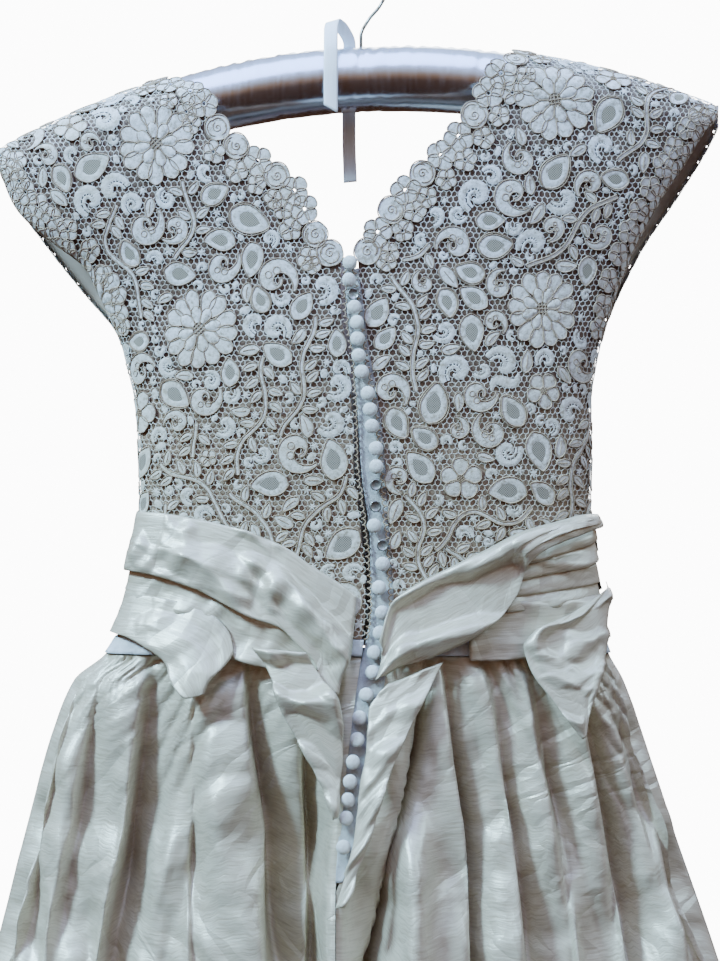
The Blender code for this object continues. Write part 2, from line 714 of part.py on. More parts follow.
def band(name, table, rows_down):
    """A sash band of the back, between its edges, on the columns of the body form where it can be."""
    hand = -1 if table[0].x < -100 else 1
    near = min((row.x for row in table), key=abs)
    far_angle = hand * math.pi / 2
    near_angle = angle_at(-470, near)
    low, high = sorted((near_angle, far_angle))
    kept = [low, high] + [hand * a for a in COLUMNS if low + 0.03 < hand * a < high - 0.03]
    for angle in [angle_at(-470, row.x) for row in table]:
        if low < angle < high and min(abs(angle - other) for other in kept) > 0.06:
            kept.append(angle)
    kept.sort()
    rows = []
    for share in np.linspace(0, 1, rows_down):
        row = []
        for angle in kept:
            x = body_point(-470, angle, -1)[0]
            top, bottom = along(table, "top", x, "x"), along(table, "bottom", x, "x")
            out_top, out_bottom = along(table, "out_top", x, "x"), along(table, "out_bottom", x, "x")
            z = top + (bottom - top) * share
            row.append(body_point(z, angle, -1, out_top + (out_bottom - out_top) * share))
        rows.append(row)
    cloth(name, [rows], "silk", SILK_WALL)


def pleated(name, pleats, start_x, side):
    """A sash piece laid in pleats: each row stands out or tucks back as its table says."""
    rows = []
    for pleat in pleats:
        if side < 0:
            start = angle_at(-440, start_x)
            angles = [start] + [a for a in COLUMNS if a > start + 0.05]
        else:
            angles = [a for a in -COLUMNS[::-1]] + list(COLUMNS[1:])
            angles = angles[::-1]
        row = []
        for angle in angles:
            low = math.sin(angles[0]) if side < 0 else 0.0
            share = (math.sin(abs(angle)) - low) / (1 - low)
            z = pleat.inner_z + (pleat.side_z - pleat.inner_z) * share
            row.append(body_point(z, angle, side, pleat.out))
        rows.append(row)
    cloth(name, [rows], "silk", SILK_WALL)


def strip(name, table, columns=4):
    """A strip of silk that hangs in front of the skirt."""
    rows = []
    for row in table:
        points = []
        for share in np.linspace(0, 1, columns):
            x = row.left_x + (row.right_x - row.left_x) * share
            z = row.left_z + (row.right_z - row.left_z) * share
            out = row.out_left + (row.out_right - row.out_left) * share
            points.append(on_back(x, z, out))
        rows.append(points)
    cloth(name, [rows], "silk", SILK_WALL)


def sash():
    """The silk sash: the pleated bands of each side, and the loose ends that hang from them."""
    band("sash_left_upper", SASH_LEFT_UPPER, 5)
    band("sash_left_middle", SASH_LEFT_MIDDLE, 2)
    band("sash_left_lower", SASH_LEFT_LOWER, 3)
    band("sash_right_upper", SASH_RIGHT_UPPER, 4)
    band("sash_right_lower", SASH_RIGHT_LOWER, 2)
    pleated("sash_right_pleats", SASH_RIGHT_PLEATS, PLEATS_INNER_X, -1)
    pleated("sash_front", SASH_FRONT_PLEATS, None, 1)
    strip("sash_left_tail", SASH_LEFT_TAIL)
    strip("sash_right_flap", SASH_RIGHT_FLAP)
    strip("placket_facing", PLACKET_FACING)


def button_mesh(name, radius, height):
    """A domed button on its shank, turned about its own Z axis, with the dome up. It reaches down to
    the placket below it."""
    shank = PLACKET_DEPTH + 0.4 - BUTTON_OUT
    profile = [
        (0.0, height),
        (0.62 * radius, 0.84 * height),
        (radius, 0.30 * height),
        (0.86 * radius, 0.0),
        (SHANK_RADIUS, 0.0),
        (SHANK_RADIUS, shank),
        (0.0, shank),
    ]
    mesh = bmesh.new()
    points = [mesh.verts.new((x * MM, 0.0, z * MM)) for x, z in profile]
    edges = [mesh.edges.new(pair) for pair in zip(points, points[1:])]
    bmesh.ops.spin(
        mesh,
        geom=points + edges,
        cent=(0, 0, 0),
        axis=(0, 0, 1),
        angle=2 * math.pi,
        steps=BUTTON_SIDES,
    )
    bmesh.ops.remove_doubles(mesh, verts=mesh.verts, dist=0.01 * MM)
    bmesh.ops.recalc_face_normals(mesh, faces=mesh.faces)
    data = bpy.data.meshes.new(name)
    mesh.to_mesh(data)
    mesh.free()
    data.shade_smooth()
    return data


def buttons():
    covered = button_mesh("covered_button", BUTTON_RADIUS, BUTTON_HEIGHT)
    shell = button_mesh("button_shell", SHELL_RADIUS, SHELL_HEIGHT)
    for number, place in enumerate(BUTTONS, 1):
        mesh, surface = (shell, "shell") if place.bare else (covered, "cotton")
        made = bpy.data.objects.new(f"button_{number:02d}", mesh)
        if not mesh.materials:
            mesh.materials.append(material(surface))
        lean = math.atan2(
            along(BODY, "back", place.z - 5) - along(BODY, "back", place.z + 5), 10
        )
        turn = math.radians(place.tip)
        out = BUTTON_OUT + BUTTON_RADIUS * abs(math.sin(turn))
        made.location = [v * MM for v in on_back(place.x, place.z, out)]
        made.rotation_euler = (math.pi / 2 - lean, 0.0, turn)
        bpy.context.scene.collection.objects.link(made)


def padding():
    """The padded bar: round sections along the drooping arms, closed to a rounded end at each side."""
    mesh = bmesh.new()
    places = [-1, -0.985, -0.95, -0.9, -0.8, -0.62, -0.4, -0.2, 0]
    places += [-place for place in places[-2::-1]]
    rings = []
    for place in places[1:-1]:
        x = place * ARM_REACH
        radius = pad_radius(x)
        middle = ridge(x) - PAD_RADIUS
        ring = []
        for turn in np.linspace(0, 2 * math.pi, 14, endpoint=False):
            y, z = radius * math.sin(turn), middle + radius * math.cos(turn)
            ring.append(mesh.verts.new((x * MM, y * MM, z * MM)))
        rings.append(ring)
    loops = [[mesh.edges.new((r[i - 1], r[i])) for i in range(len(r))] for r in rings]
    for first, second in zip(loops, loops[1:]):
        bmesh.ops.bridge_loops(mesh, edges=first + second)
    for place, ring in ((-1, rings[0]), (1, rings[-1])):
        x = place * ARM_REACH
        tip = mesh.verts.new((x * MM, 0.0, (ridge(x) - PAD_RADIUS) * MM))
        for i in range(len(ring)):
            mesh.faces.new((ring[i - 1], ring[i], tip))
    bmesh.ops.recalc_face_normals(mesh, faces=mesh.faces)
    data = bpy.data.meshes.new("hanger_padding")
    mesh.to_mesh(data)
    mesh.free()
    data.shade_smooth()
    add_object("hanger_padding", data, "satin")


def hook():
    """The wire hook: up from the padding, leaning right, then three quarters of a turn over the rail."""
    centre_z = WIRE_RADIUS - HOOK_RADIUS
    stem = [(0.0, ridge(0.0) + 0.3), (0.0, ridge(0.0) + 8.0), (5.5, ridge(0.0) + 20.0)]
    stem.append((13.5, centre_z - 19.0))
    turns = np.radians(np.linspace(-22, 200, 15))
    arc = [(HOOK_RADIUS * math.cos(a), centre_z + HOOK_RADIUS * math.sin(a)) for a in turns]
    wire = bpy.data.curves.new("hanger_hook", "CURVE")
    wire.dimensions = "3D"
    wire.bevel_depth = WIRE_RADIUS * MM
    wire.bevel_resolution = 2
    wire.use_fill_caps = True
    line = wire.splines.new("POLY")
    places = stem + arc
    line.points.add(len(places) - 1)
    for point, (x, z) in zip(line.points, places):
        point.co = (x * MM, 0.0, z * MM, 1.0)
    add_object("hanger_hook", wire, "wire")


def ribbon():
    """The ribbon tied at the hook, one end in front of the padding and one behind it."""
    rows = [
        [
            (row.x - row.half_x, row.y, row.z - row.half_z),
            (row.x + row.half_x, row.y, row.z + row.half_z),
        ]
        for row in RIBBON
    ]
    cloth("hanger_ribbon", [rows[::-1]], "ribbon", RIBBON_WALL)


def main():
    for old in list(bpy.data.objects):
        bpy.data.objects.remove(old)
    padding()
    hook()
    ribbon()
    lace_bodice()
    underbodice()
    placket()
    waist_tape()
    skirt()
    sash()
    buttons()


main()
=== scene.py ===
"""Looks for the lace and silk wedding dress on its padded hanger.

Lengths are in millimetres until a mesh is made, which is in metres. The tables of the dress's cut follow
those of the CAD script, so each piece lies where its solid does. Only the front's sleeve edges are drawn
in a little, and the sash's lower edges hang a little lower. The lace is drawn flat, in a design plane
whose axes are the distance round the panel and up it, and is then laid on the panel.
"""

import math

import bpy
import numpy as np
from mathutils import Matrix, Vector
from mathutils.bvhtree import BVHTree


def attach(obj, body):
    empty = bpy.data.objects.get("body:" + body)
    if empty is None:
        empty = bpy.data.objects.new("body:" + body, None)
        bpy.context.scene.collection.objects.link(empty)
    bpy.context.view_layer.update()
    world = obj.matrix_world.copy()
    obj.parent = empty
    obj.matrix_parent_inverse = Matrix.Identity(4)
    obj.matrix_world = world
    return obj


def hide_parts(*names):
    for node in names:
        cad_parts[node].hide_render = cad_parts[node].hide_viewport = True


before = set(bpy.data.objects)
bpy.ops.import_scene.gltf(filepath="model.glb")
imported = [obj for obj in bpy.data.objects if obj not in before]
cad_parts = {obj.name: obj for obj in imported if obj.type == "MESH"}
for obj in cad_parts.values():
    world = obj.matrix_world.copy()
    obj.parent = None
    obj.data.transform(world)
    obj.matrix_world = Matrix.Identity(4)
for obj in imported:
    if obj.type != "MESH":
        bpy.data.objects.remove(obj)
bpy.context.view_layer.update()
MM = 0.001
BACK, FRONT = -1, 1
LEFT, RIGHT = -1, 1


def add_object(name, data):
    made = bpy.data.objects.new(name, data)
    bpy.context.scene.collection.objects.link(made)
    return made


# ---------------------------------------------------------------- camera and light

EYE = (-0.0007, -1.6, -0.389)
VIEW_HEIGHT = 0.711  # of what the camera sees at the dress


def add_camera():
    data = bpy.data.cameras.new("camera")
    data.sensor_width = 36
    data.lens = 36 * abs(EYE[1]) / VIEW_HEIGHT
    camera = add_object("camera", data)
    camera.location = EYE
    camera.rotation_euler = (math.pi / 2, 0, 0)
    bpy.context.scene.camera = camera


def add_light(name, place, aim, size, power, colour):
    data = bpy.data.lights.new(name, "AREA")
    data.shape, data.size, data.energy, data.color = "DISK", size, power, colour
    lamp = add_object(name, data)
    lamp.location = place
    lamp.rotation_euler = (Vector(aim) - Vector(place)).to_track_quat("-Z", "Y").to_euler()


def add_world():
    """Cool light from above and dim warm light from below, white to the eye."""
    world = bpy.data.worlds.new("studio")
    world.use_nodes = True
    bpy.context.scene.world = world
    nodes, links = world.node_tree.nodes, world.node_tree.links
    nodes.clear()
    where = nodes.new("ShaderNodeTexCoord")
    split = nodes.new("ShaderNodeSeparateXYZ")
    up = nodes.new("ShaderNodeMapRange")
    up.inputs["From Min"].default_value = -1.0
    ramp = nodes.new("ShaderNodeValToRGB")
    stops = ramp.color_ramp.elements
    stops[0].position, stops[0].color = 0.0, (0.10, 0.05, 0.04, 1)
    stops[1].position, stops[1].color = 1.0, (2.8, 3.8, 6.0, 1)
    for place, colour in (
        (0.40, (0.22, 0.10, 0.055, 1)),
        (0.52, (0.78, 0.40, 0.20, 1)),
        (0.61, (1.12, 0.78, 0.53, 1)),
        (0.72, (1.8, 1.9, 2.4, 1)),
    ):
        stops.new(place).color = colour
    lit = nodes.new("ShaderNodeBackground")
    lit.inputs["Strength"].default_value = 0.34
    seen = nodes.new("ShaderNodeBackground")
    seen.inputs["Color"].default_value = (1, 1, 1, 1)
    seen.inputs["Strength"].default_value = 12.0
    path = nodes.new("ShaderNodeLightPath")
    mix = nodes.new("ShaderNodeMixShader")
    out = nodes.new("ShaderNodeOutputWorld")
    links.new(where.outputs["Generated"], split.inputs[0])
    links.new(split.outputs["Z"], up.inputs["Value"])
    links.new(up.outputs[0], ramp.inputs[0])
    links.new(ramp.outputs[0], lit.inputs[0])
    links.new(path.outputs["Is Camera Ray"], mix.inputs[0])
    links.new(lit.outputs[0], mix.inputs[1])
    links.new(seen.outputs[0], mix.inputs[2])
    links.new(mix.outputs[0], out.inputs[0])


# ---------------------------------------------------------------- materials


class Shade:
    """A Principled material and short ways to add nodes to it."""

    def __init__(self, name, **values):
        self.made = bpy.data.materials.new(name)
        self.made.use_nodes = True
        self.tree = self.made.node_tree
        self.shader = self.tree.nodes["Principled BSDF"]
        for key, value in values.items():
            self.shader.inputs[key.replace("_", " ")].default_value = value
        self.heights = []

    def node(self, kind, **inputs):
        new = self.tree.nodes.new(kind)
        for key, value in inputs.items():
            slot = new.inputs[key.replace("_", " ")]
            if isinstance(value, bpy.types.NodeSocket):
                self.tree.links.new(value, slot)
            else:
                slot.default_value = value
        return new

    def place(self, kind="Object", scale=(1, 1, 1), turn=(0, 0, 0)):
        """A place on the piece, scaled so that a texture of scale 1 has the size wanted."""
        where = self.node("ShaderNodeTexCoord")
        return self.node(
            "ShaderNodeMapping", Vector=where.outputs[kind], Scale=scale, Rotation=turn
        ).outputs[0]

    def noise(self, where, scale=1.0, detail=3.0, rough=0.5):
        return self.node(
            "ShaderNodeTexNoise", Vector=where, Scale=scale, Detail=detail, Roughness=rough
        ).outputs["Fac"]

    def wave(self, where, scale=1.0, distortion=0.0):
        new = self.node("ShaderNodeTexWave", Vector=where, Scale=scale, Distortion=distortion)
        return new.outputs["Fac"]

    def ramp(self, fac, *stops):
        """A colour ramp of (place, colour) stops."""
        new = self.node("ShaderNodeValToRGB", Fac=fac)
        ends = new.color_ramp.elements
        ends[0].position, ends[0].color = stops[0][0], (*stops[0][1], 1)
        ends[1].position, ends[1].color = stops[-1][0], (*stops[-1][1], 1)
        for place, colour in stops[1:-1]:
            ends.new(place).color = (*colour, 1)
        return new.outputs[0]

    def mix(self, fac, one, two, blend="MIX"):
        new = self.tree.nodes.new("ShaderNodeMix")
        new.data_type, new.blend_type = "RGBA", blend
        for slot, value in ((0, fac), (6, one), (7, two)):
            if isinstance(value, bpy.types.NodeSocket):
                self.tree.links.new(value, new.inputs[slot])
            else:
                new.inputs[slot].default_value = value if slot == 0 else (*value, 1)
        return new.outputs[2]

    def yellowing(self):
        """A tint that turns the lace yellower towards the waist."""
        where = self.node("ShaderNodeTexCoord").outputs["Object"]
        height = self.node("ShaderNodeSeparateXYZ", Vector=where).outputs["Z"]
        share = self.node("ShaderNodeMapRange", Value=height, From_Min=-0.42, From_Max=-0.2)
        return self.ramp(share.outputs[0], (0.0, (0.99, 0.96, 0.83)), (1.0, (1, 1, 1)))

    def to(self, socket, value):
        self.tree.links.new(value, self.shader.inputs[socket])

    def bump(self, height, strength, depth):
        """Adds a height in metres to the material's bump."""
        new = self.node("ShaderNodeBump", Height=height, Strength=strength, Distance=depth)
        if self.heights:
            self.tree.links.new(self.heights[-1], new.inputs["Normal"])
        self.heights.append(new.outputs[0])
        self.to("Normal", new.outputs[0])


def silk_material(name, tone, shine):
    """Crisp silk: uneven slubs across, a fine weave, a soft sheen and faint blotches of wear."""
    made = Shade(
        name, Metallic=0.26, Specular_IOR_Level=shine, Coat_Weight=0.3, Coat_IOR=1.8, Coat_Roughness=0.34
    )
    cloth = made.place("UV")
    slub = made.noise(made.place("UV", (60, 620, 1)), 1.0, 3.0, 0.6)
    blotch = made.noise(cloth, 22.0, 4.0, 0.6)
    light = tuple(min(1.0, v * 1.05) for v in tone)
    dark = tuple(v * 0.86 for v in tone)
    base = made.ramp(blotch, (0.3, dark), (0.7, light))
    streak = made.ramp(slub, (0.34, (0.78, 0.74, 0.68)), (0.56, (1, 1, 1)))
    made.to("Base Color", made.mix(0.8, base, streak, "MULTIPLY"))
    made.to("Roughness", made.ramp(slub, (0.3, (0.34,) * 3), (0.7, (0.50,) * 3)))
    made.bump(slub, 0.5, 0.0005)
    made.bump(made.noise(made.place("UV", (1400, 900, 1)), 1.0, 1.0), 0.25, 0.0002)
    warped = made.node("ShaderNodeVectorMath")
    warped.operation = "ADD"
    narrow = made.place("UV", (1, 0.5, 1))
    shift = made.node("ShaderNodeTexNoise", Vector=narrow, Scale=9.0, Detail=1.0)
    scaled = made.node("ShaderNodeVectorMath")
    scaled.operation = "SCALE"
    scaled.inputs[3].default_value = 0.05
    made.tree.links.new(shift.outputs["Color"], scaled.inputs[0])
    made.tree.links.new(narrow, warped.inputs[0])
    made.tree.links.new(scaled.outputs[0], warped.inputs[1])
    cells = made.node("ShaderNodeTexVoronoi", Vector=warped.outputs[0], Scale=22.0)
    cells.feature = "DISTANCE_TO_EDGE"
    creased = made.node("ShaderNodeMapRange", Value=cells.outputs["Distance"], From_Max=0.22)
    made.bump(creased.outputs[0], 0.45, 0.0024)
    return made.made


def woven_material(name, tone, dark, scale, rough=0.8, depth=0.0003, sheen=0.1):
    """Matt woven cloth: crossed threads and a mottled tone."""
    made = Shade(name, Roughness=rough, Sheen_Weight=sheen)
    mottle = made.noise(made.place(), 160.0, 4.0, 0.6)
    made.to("Base Color", made.ramp(mottle, (0.32, dark), (0.62, tone)))
    made.bump(made.wave(made.place(scale=(scale, scale, 0.1)), 1.0, 1.0), 0.4, depth)
    made.bump(made.wave(made.place(turn=(0, math.pi / 2, 0), scale=(scale,) * 3), 1.0, 1.0), 0.4, depth)
    made.bump(made.noise(made.place(), 700.0, 2.0), 0.5, depth * 2)
    return made.made


def lace_fill_material():
    """The close cotton filling of the lace: fine threads and a mottled tone."""
    made = Shade("lace_fill", Roughness=0.75, Sheen_Weight=0.15)
    where = made.place()
    mottle = made.noise(where, 260.0, 4.0, 0.7)
    # gap is the mottle's darkest tone, painted shade in the gaps between the threads; thread and knot are the
    # cotton's own tones.
    gap, thread, knot = (0.38, 0.31, 0.25), (0.63, 0.60, 0.58), (0.77, 0.745, 0.76)
    tone = made.ramp(mottle, (0.36, gap), (0.47, thread), (0.62, knot))
    age = made.noise(where, 9.0, 2.0)
    aged = made.mix(made.ramp(age, (0.45, (0, 0, 0)), (0.7, (0.5,) * 3)), tone, (0.60, 0.52, 0.40))
    made.to("Base Color", made.mix(1.0, aged, made.yellowing(), "MULTIPLY"))
    made.bump(made.noise(where, 1300.0, 2.0), 0.5, 0.0004)
    made.bump(made.noise(where, 420.0, 2.0), 0.5, 0.0007)
    return made.made


def lace_thread_material(name, tone, dark):
    """Twisted cotton thread."""
    made = Shade(name, Roughness=0.7, Sheen_Weight=0.1)
    where = made.place()
    mottle = made.ramp(made.noise(where, 90.0, 3.0), (0.35, dark), (0.62, tone))
    made.to("Base Color", made.mix(1.0, mottle, made.yellowing(), "MULTIPLY"))
    made.bump(made.wave(made.place(scale=(700, 700, 500)), 1.0, 1.0), 0.4, 0.0003)
    return made.made


def net_centre_material():
    """Fine square net in the middle of leaves, its holes in shadow."""
    made = Shade("lace_net_centre", Roughness=0.85)
    one = made.wave(made.place(turn=(0, math.pi / 4, 0), scale=(260,) * 3), 1.0, 0.6)
    two = made.wave(made.place(turn=(0, -math.pi / 4, 0), scale=(260,) * 3), 1.0, 0.6)
    cross = made.node("ShaderNodeMath", Value=one)
    cross.operation = "MAXIMUM"
    made.tree.links.new(two, cross.inputs[1])
    made.to("Base Color", made.ramp(cross.outputs[0], (0.62, (0.12, 0.09, 0.06)), (0.93, (0.42, 0.36, 0.28))))
    return made.made


def tulle_painted_shade_and_light_material(name, *tones):
    """Fine tulle behind the lace, its tone set by height. It is painted dark as the shade of the hollow
    shoulders, painted pale for the lit satin of the hanger that lies behind it, and beige where it lies on
    the lining."""
    made = Shade(name, Roughness=0.9)
    where = made.node("ShaderNodeTexCoord").outputs["Object"]
    split = made.node("ShaderNodeSeparateXYZ", Vector=where)
    height = made.node("ShaderNodeMapRange", Value=split.outputs["Z"], From_Min=-0.5, From_Max=-0.05)
    # The tone by height is painted: painted shade of the hollow between the layers, and painted light of the
    # satin behind at the top.
    tone = made.ramp(height.outputs[0], *tones)
    mottle = made.ramp(made.noise(where, 45.0), (0.3, (0.7,) * 3), (0.7, (1.15,) * 3))
    made.to("Base Color", made.mix(0.6, tone, mottle, "MULTIPLY"))
    made.bump(made.wave(made.place(scale=(900,) * 3), 1.0, 0.5), 0.3, 0.0002)
    return made.made


# ---------------------------------------------------------------- curves through tables


def smooth(keys, values, places):
    """Values at places along a curve through (keys, values) that never overshoots them."""
    keys, values = np.asarray(keys, float), np.asarray(values, float)
    places = np.clip(np.asarray(places, float), keys[0], keys[-1])
    steps = np.diff(keys).reshape((-1,) + (1,) * (values.ndim - 1))
    rise = np.diff(values, axis=0) / steps
    slope = np.zeros_like(values)
    slope[0], slope[-1] = rise[0], rise[-1]
    before, after = rise[:-1], rise[1:]
    same = before * after > 0
    with np.errstate(divide="ignore", invalid="ignore"):
        slope[1:-1] = np.where(same, 2 * before * after / (before + after), 0.0)
    cell = np.clip(np.searchsorted(keys, places, side="right") - 1, 0, len(keys) - 2)
    t = (places - keys[cell]) / (keys[cell + 1] - keys[cell])
    t = t.reshape(t.shape + (1,) * (values.ndim - 1))
    h = (keys[cell + 1] - keys[cell]).reshape(t.shape)
    return (
        (1 + 2 * t) * (1 - t) ** 2 * values[cell]
        + t * (1 - t) ** 2 * h * slope[cell]
        + t**2 * (3 - 2 * t) * values[cell + 1]
        + t**2 * (t - 1) * h * slope[cell + 1]
    )


def along(line):
    """How far each point of a line is along it."""
    return np.concatenate([[0], np.cumsum(np.linalg.norm(np.diff(line, axis=0), axis=1))])


def unit(vectors):
    return vectors / np.maximum(np.linalg.norm(vectors, axis=-1, keepdims=True), 1e-9)


def normals(grid, side):
    """Unit vectors out of a grid of points, to the side of the dress that it is on."""
    out = unit(np.cross(np.gradient(grid, axis=1), np.gradient(grid, axis=0)))
    return out * side * np.sign(out[..., 1].sum())


def finer(grid, rows, columns):
    """A grid of points made finer, along a smooth curve each way."""
    for count in (rows, columns):
        steps = np.linalg.norm(np.diff(grid, axis=0), axis=2).mean(axis=1)
        keys = np.concatenate([[0], np.cumsum(np.maximum(steps, 1e-3))])
        grid = smooth(keys, grid, np.linspace(0, keys[-1], count)).swapaxes(0, 1)
    return grid


# ---------------------------------------------------------------- the dress's cut, as in the CAD

SEAM, ROUND, SIDE_FLAT = 0.4, 0.85, 82 / 90
HANGER_TOP, ARM_REACH, ARM_TAPER = -68.5, 212.0, 34.0
ARM_DROOP, ARM_DROOP_RIGHT, DROOP_AT, ARM_TILT = 34.5, 31.5, 193.0, 0.0453
PAD_RADIUS, PAD_CLEARANCE = 24.0, 3.6
LACE_BOTTOM, TAPE_TOP, TAPE_BOTTOM, SKIRT_TOP = -503.0, -503.4, -515.0, -516.2
FOLD_LEVEL, HEM, LOWER_SEAM, SEAM_X = -745.0, -1560.0, -690.0, -17.8

# Level sections of the body: height, left and right outline, depth behind and in front.
BODY = np.array(
    [
        (-1560, -468.0, 464.0, 232, 220),
        (-1150, -382.0, 377.0, 170, 160),
        (-900, -318.0, 311.0, 124, 118),
        (-745, -274.0, 266.0, 95, 92),
        (-640, -247.0, 230.0, 76, 74),
        (-581, -231.0, 211.0, 65, 64),
        (-536, -213.0, 195.0, 56, 56),
        (-516, -189.0, 184.0, 50, 50),
        (-485, -173.0, 175.0, 46, 46),
        (-450, -165.0, 170.0, 44, 44),
        (-415, -163.0, 169.0, 44, 45),
        (-375, -163.5, 170.0, 45, 49),
        (-330, -166.5, 169.5, 45, 51),
        (-285, -177.5, 177.5, 43.5, 47),
        (-225, -187.0, 187.0, 40.5, 42),
    ]
)

# Shoulder rows: x and height of the neck edge and of the sleeve edge, depth, and the sleeve's half gap.
SEAM_ROW_LEFT = (-149, None, -268, None, -0.6, 1.2)
SEAM_ROW_RIGHT = (115, None, 263.5, None, -0.6, 1.2)
SHOULDERS = {
    (BACK, LEFT): [
        SEAM_ROW_LEFT,
        (-141, -94.5, -267, -147, 10.5, 5.5),
        (-128, -99.0, -266, -155, 19, 8.0),
        (-112, -106.0, -262, -168, 26, 9.5),
        (-101, -126.0, -254, -187, 27, 9.0),
        (-82, -144.5, -240, -203, 28, 9.5),
        (-62, -158.5, -222, -217, 30, 8.5),
        (-39, -180.0, -203, -232, 33, 6.5),
        (-29, -204.0, -190, -257, 36.5, 3.5),
    ],
    (BACK, RIGHT): [
        SEAM_ROW_RIGHT,
        (111, -75.0, 263, -115, 10.5, 5.5),
        (105, -81.0, 261, -122, 19, 8.0),
        (96, -89.0, 253, -132, 26, 9.5),
        (83, -110.0, 243, -147, 27, 9.0),
        (66, -134.0, 233, -163, 28, 9.5),
        (46, -155.5, 220, -182, 30, 8.5),
        (26, -175.0, 206, -208, 33, 6.5),
        (11, -198.0, 191, -242, 36.5, 3.5),
    ],
    (FRONT, LEFT): [
        SEAM_ROW_LEFT,
        (-143, -95.5, -268, -148, 10.5, 5.5),
        (-134, -101.0, -268, -157, 19, 8.0),
        (-122, -111.0, -262, -173, 26, 9.5),
        (-98, -152.0, -234, -214, 30, 11.0),
        (-56, -192.0, -206, -249, 35, 8.0),
    ],
    (FRONT, RIGHT): [
        SEAM_ROW_RIGHT,
        (113, -75.5, 264, -115.5, 10.5, 5.5),
        (109, -82.0, 265, -124, 19, 8.0),
        (102, -93.0, 259, -139, 26, 9.5),
        (84, -140.0, 238, -174, 30, 11.0),
        (46, -188.0, 206, -222, 35, 8.0),
    ],
}

# Bodice rows below the shoulders: height at the middle and at the side seam.
LEVELS = {
    BACK: [(-229, -285), (-262, -305), (-300, -330), (-342, -356), (-377, -380)],
    FRONT: [(-243, -285), (-285, -312), (-333, -340), (-377, -378)],
}
LOWER_LEVELS = [(-415, -415), (-450, -450), (-485, -485), (LACE_BOTTOM, LACE_BOTTOM)]

# The opening: height, the left panel's edge, the placket's left side, the right panel's edge.
OPENING = np.array(
    [
        (-678, -18.0, -18.5, -17.6),
        (-655, -16.0, -17.0, -8.0),
        (-626, -13.0, -14.5, -1.5),
        (-596, -10.5, -12.0, 2.0),
        (-567, -7.0, -8.5, 8.0),
        (-537, -3.0, -4.5, 15.0),
        (-507, 1.5, 3.0, 20.0),
        (-480, 5.0, 7.0, 23.0),
        (-430, 2.2, 6.5, 20.0),
        (-385, -4.0, 0.5, 17.0),
        (-332, -5.6, -3.0, 11.5),
        (-295, -8.5, -7.0, 4.5),
        (-252, -14.0, -11.5, -1.0),
        (-228, -13.5, -12.5, -4.0),
    ]
)
LEFT_EDGE, PLACKET_EDGE, RIGHT_EDGE = 1, 2, 3

# Skirt folds: x of the trough at the waist and at FOLD_LEVEL, its depth and half-width.
TROUGHS = {
    BACK: [
        (-206, -252, 14, 9),
        (-190, -222, 16, 10),
        (-152, -178, 34, 20),
        (-122, -116, 8, 7),
        (-78, -68, 38, 15),
        (-44, -34, 24, 13),
        (46, -3, 30, 6),
        (56, 80, 28, 9),
        (88, 124, 20, 10),
        (124, 158, 20, 13),
        (152, 194, 32, 12),
        (176, 248, 20, 10),
    ],
    FRONT: [
        (-188, -236, 26, 12),
        (-160, -192, 20, 10),
        (-128, -146, 34, 13),
        (-92, -112, 16, 10),
        (-62, -64, 32, 13),
        (-26, -20, 22, 10),
        (12, 24, 34, 13),
        (46, 66, 14, 9),
        (80, 104, 32, 12),
        (118, 150, 22, 11),
        (150, 190, 34, 12),
        (174, 232, 20, 11),
    ],
}

# Places of the columns across each half of the body, from its middle to its side seam.
COLUMNS = np.radians([0, 13, 26, 39, 52, 64, 74, 82, 90])
QUARTER = math.pi / 2

# Gathers at the waist: how far apart, how deep, and how far down they fade.
GATHERS = [(8.0, 4.4, 42.0), (15.0, 5.6, 110.0), (29.0, 5.0, 800.0), (61.0, 6.0, 1200.0)]
# The skirt's crumples: slope, their width as a share of their height, facet size, seed and lean.
CRUMPLES = [
    (0.60, 0.3, 46.0, 0, 0.0),
    (0.36, 0.45, 38.0, 4, -0.5),
    (0.36, 0.45, 38.0, 1, 0.5),
    (0.20, 0.6, 19.0, 2, None),
]
# The fold beside each side seam: degrees from the middle, half-width in degrees, depth.
SIDE_FOLD_AT, SIDE_FOLD_HALF, SIDE_FOLD_DEPTH = 76.0, 5.5, 15.0
FINE_ABOVE, FINE_SHARE = -770, 0.62  # the skirt's rows are closer together above this height
FOLD_DEEPER = 1.55  # the cloth's folds, beside the depths that the cut gives
FOLD_OVERHANG = 0.30  # how far a fold's edge swings over its trough, beside its depth
OPENING_FLAT, OPENING_FADE = 3.5, 7.0  # the cloth is flat by the opening, and folds further off


def body(name, z):
    """A column of the body's table at height z: left, right, back or front."""
    at = {"left": 1, "right": 2, "back": 3, "front": 4}[name]
    return smooth(BODY[:, 0], BODY[:, at], z)


def opening(z, which):
    """x of an edge of the opening at height z."""
    return smooth(OPENING[:, 0], OPENING[:, which], z)


def across(angle):
    """Share of the way from the middle to the side, at an angle round the body."""
    return np.sin(np.clip(angle / SIDE_FLAT, -QUARTER, QUARTER))


def body_points(z, angle, side, out=0.0):
    """Points of the body form, for arrays of height and angle, moved out."""
    z, angle, out = np.broadcast_arrays(np.asarray(z, float), angle, out)
    left, right = body("left", z) - out, body("right", z) + out
    depth = body("back" if side == BACK else "front", z) + out
    x = (left + right) / 2 + (right - left) / 2 * across(angle)
    gap = SEAM / 2 + 0.1 * np.maximum(out, 0.0)
    y = side * (gap + depth * np.maximum(np.cos(angle), 0.0) ** ROUND)
    return np.stack([x, y, z], axis=-1)


def angle_at(z, x):
    """The angle round the body at height z and x."""
    left, right = body("left", z), body("right", z)
    return SIDE_FLAT * np.arcsin(np.clip((2 * x - left - right) / (right - left), -1, 1))


def on_back(x, z, out=0.0):
    """Points on the back of the dress."""
    return body_points(z, angle_at(z, x), BACK, out)


def ridge(x):
    """Height of the top of the hanger's padding."""
    droop = np.where(np.asarray(x) < 0, ARM_DROOP, ARM_DROOP_RIGHT)
    return HANGER_TOP - droop * (x / DROOP_AT) ** 2 + ARM_TILT * x


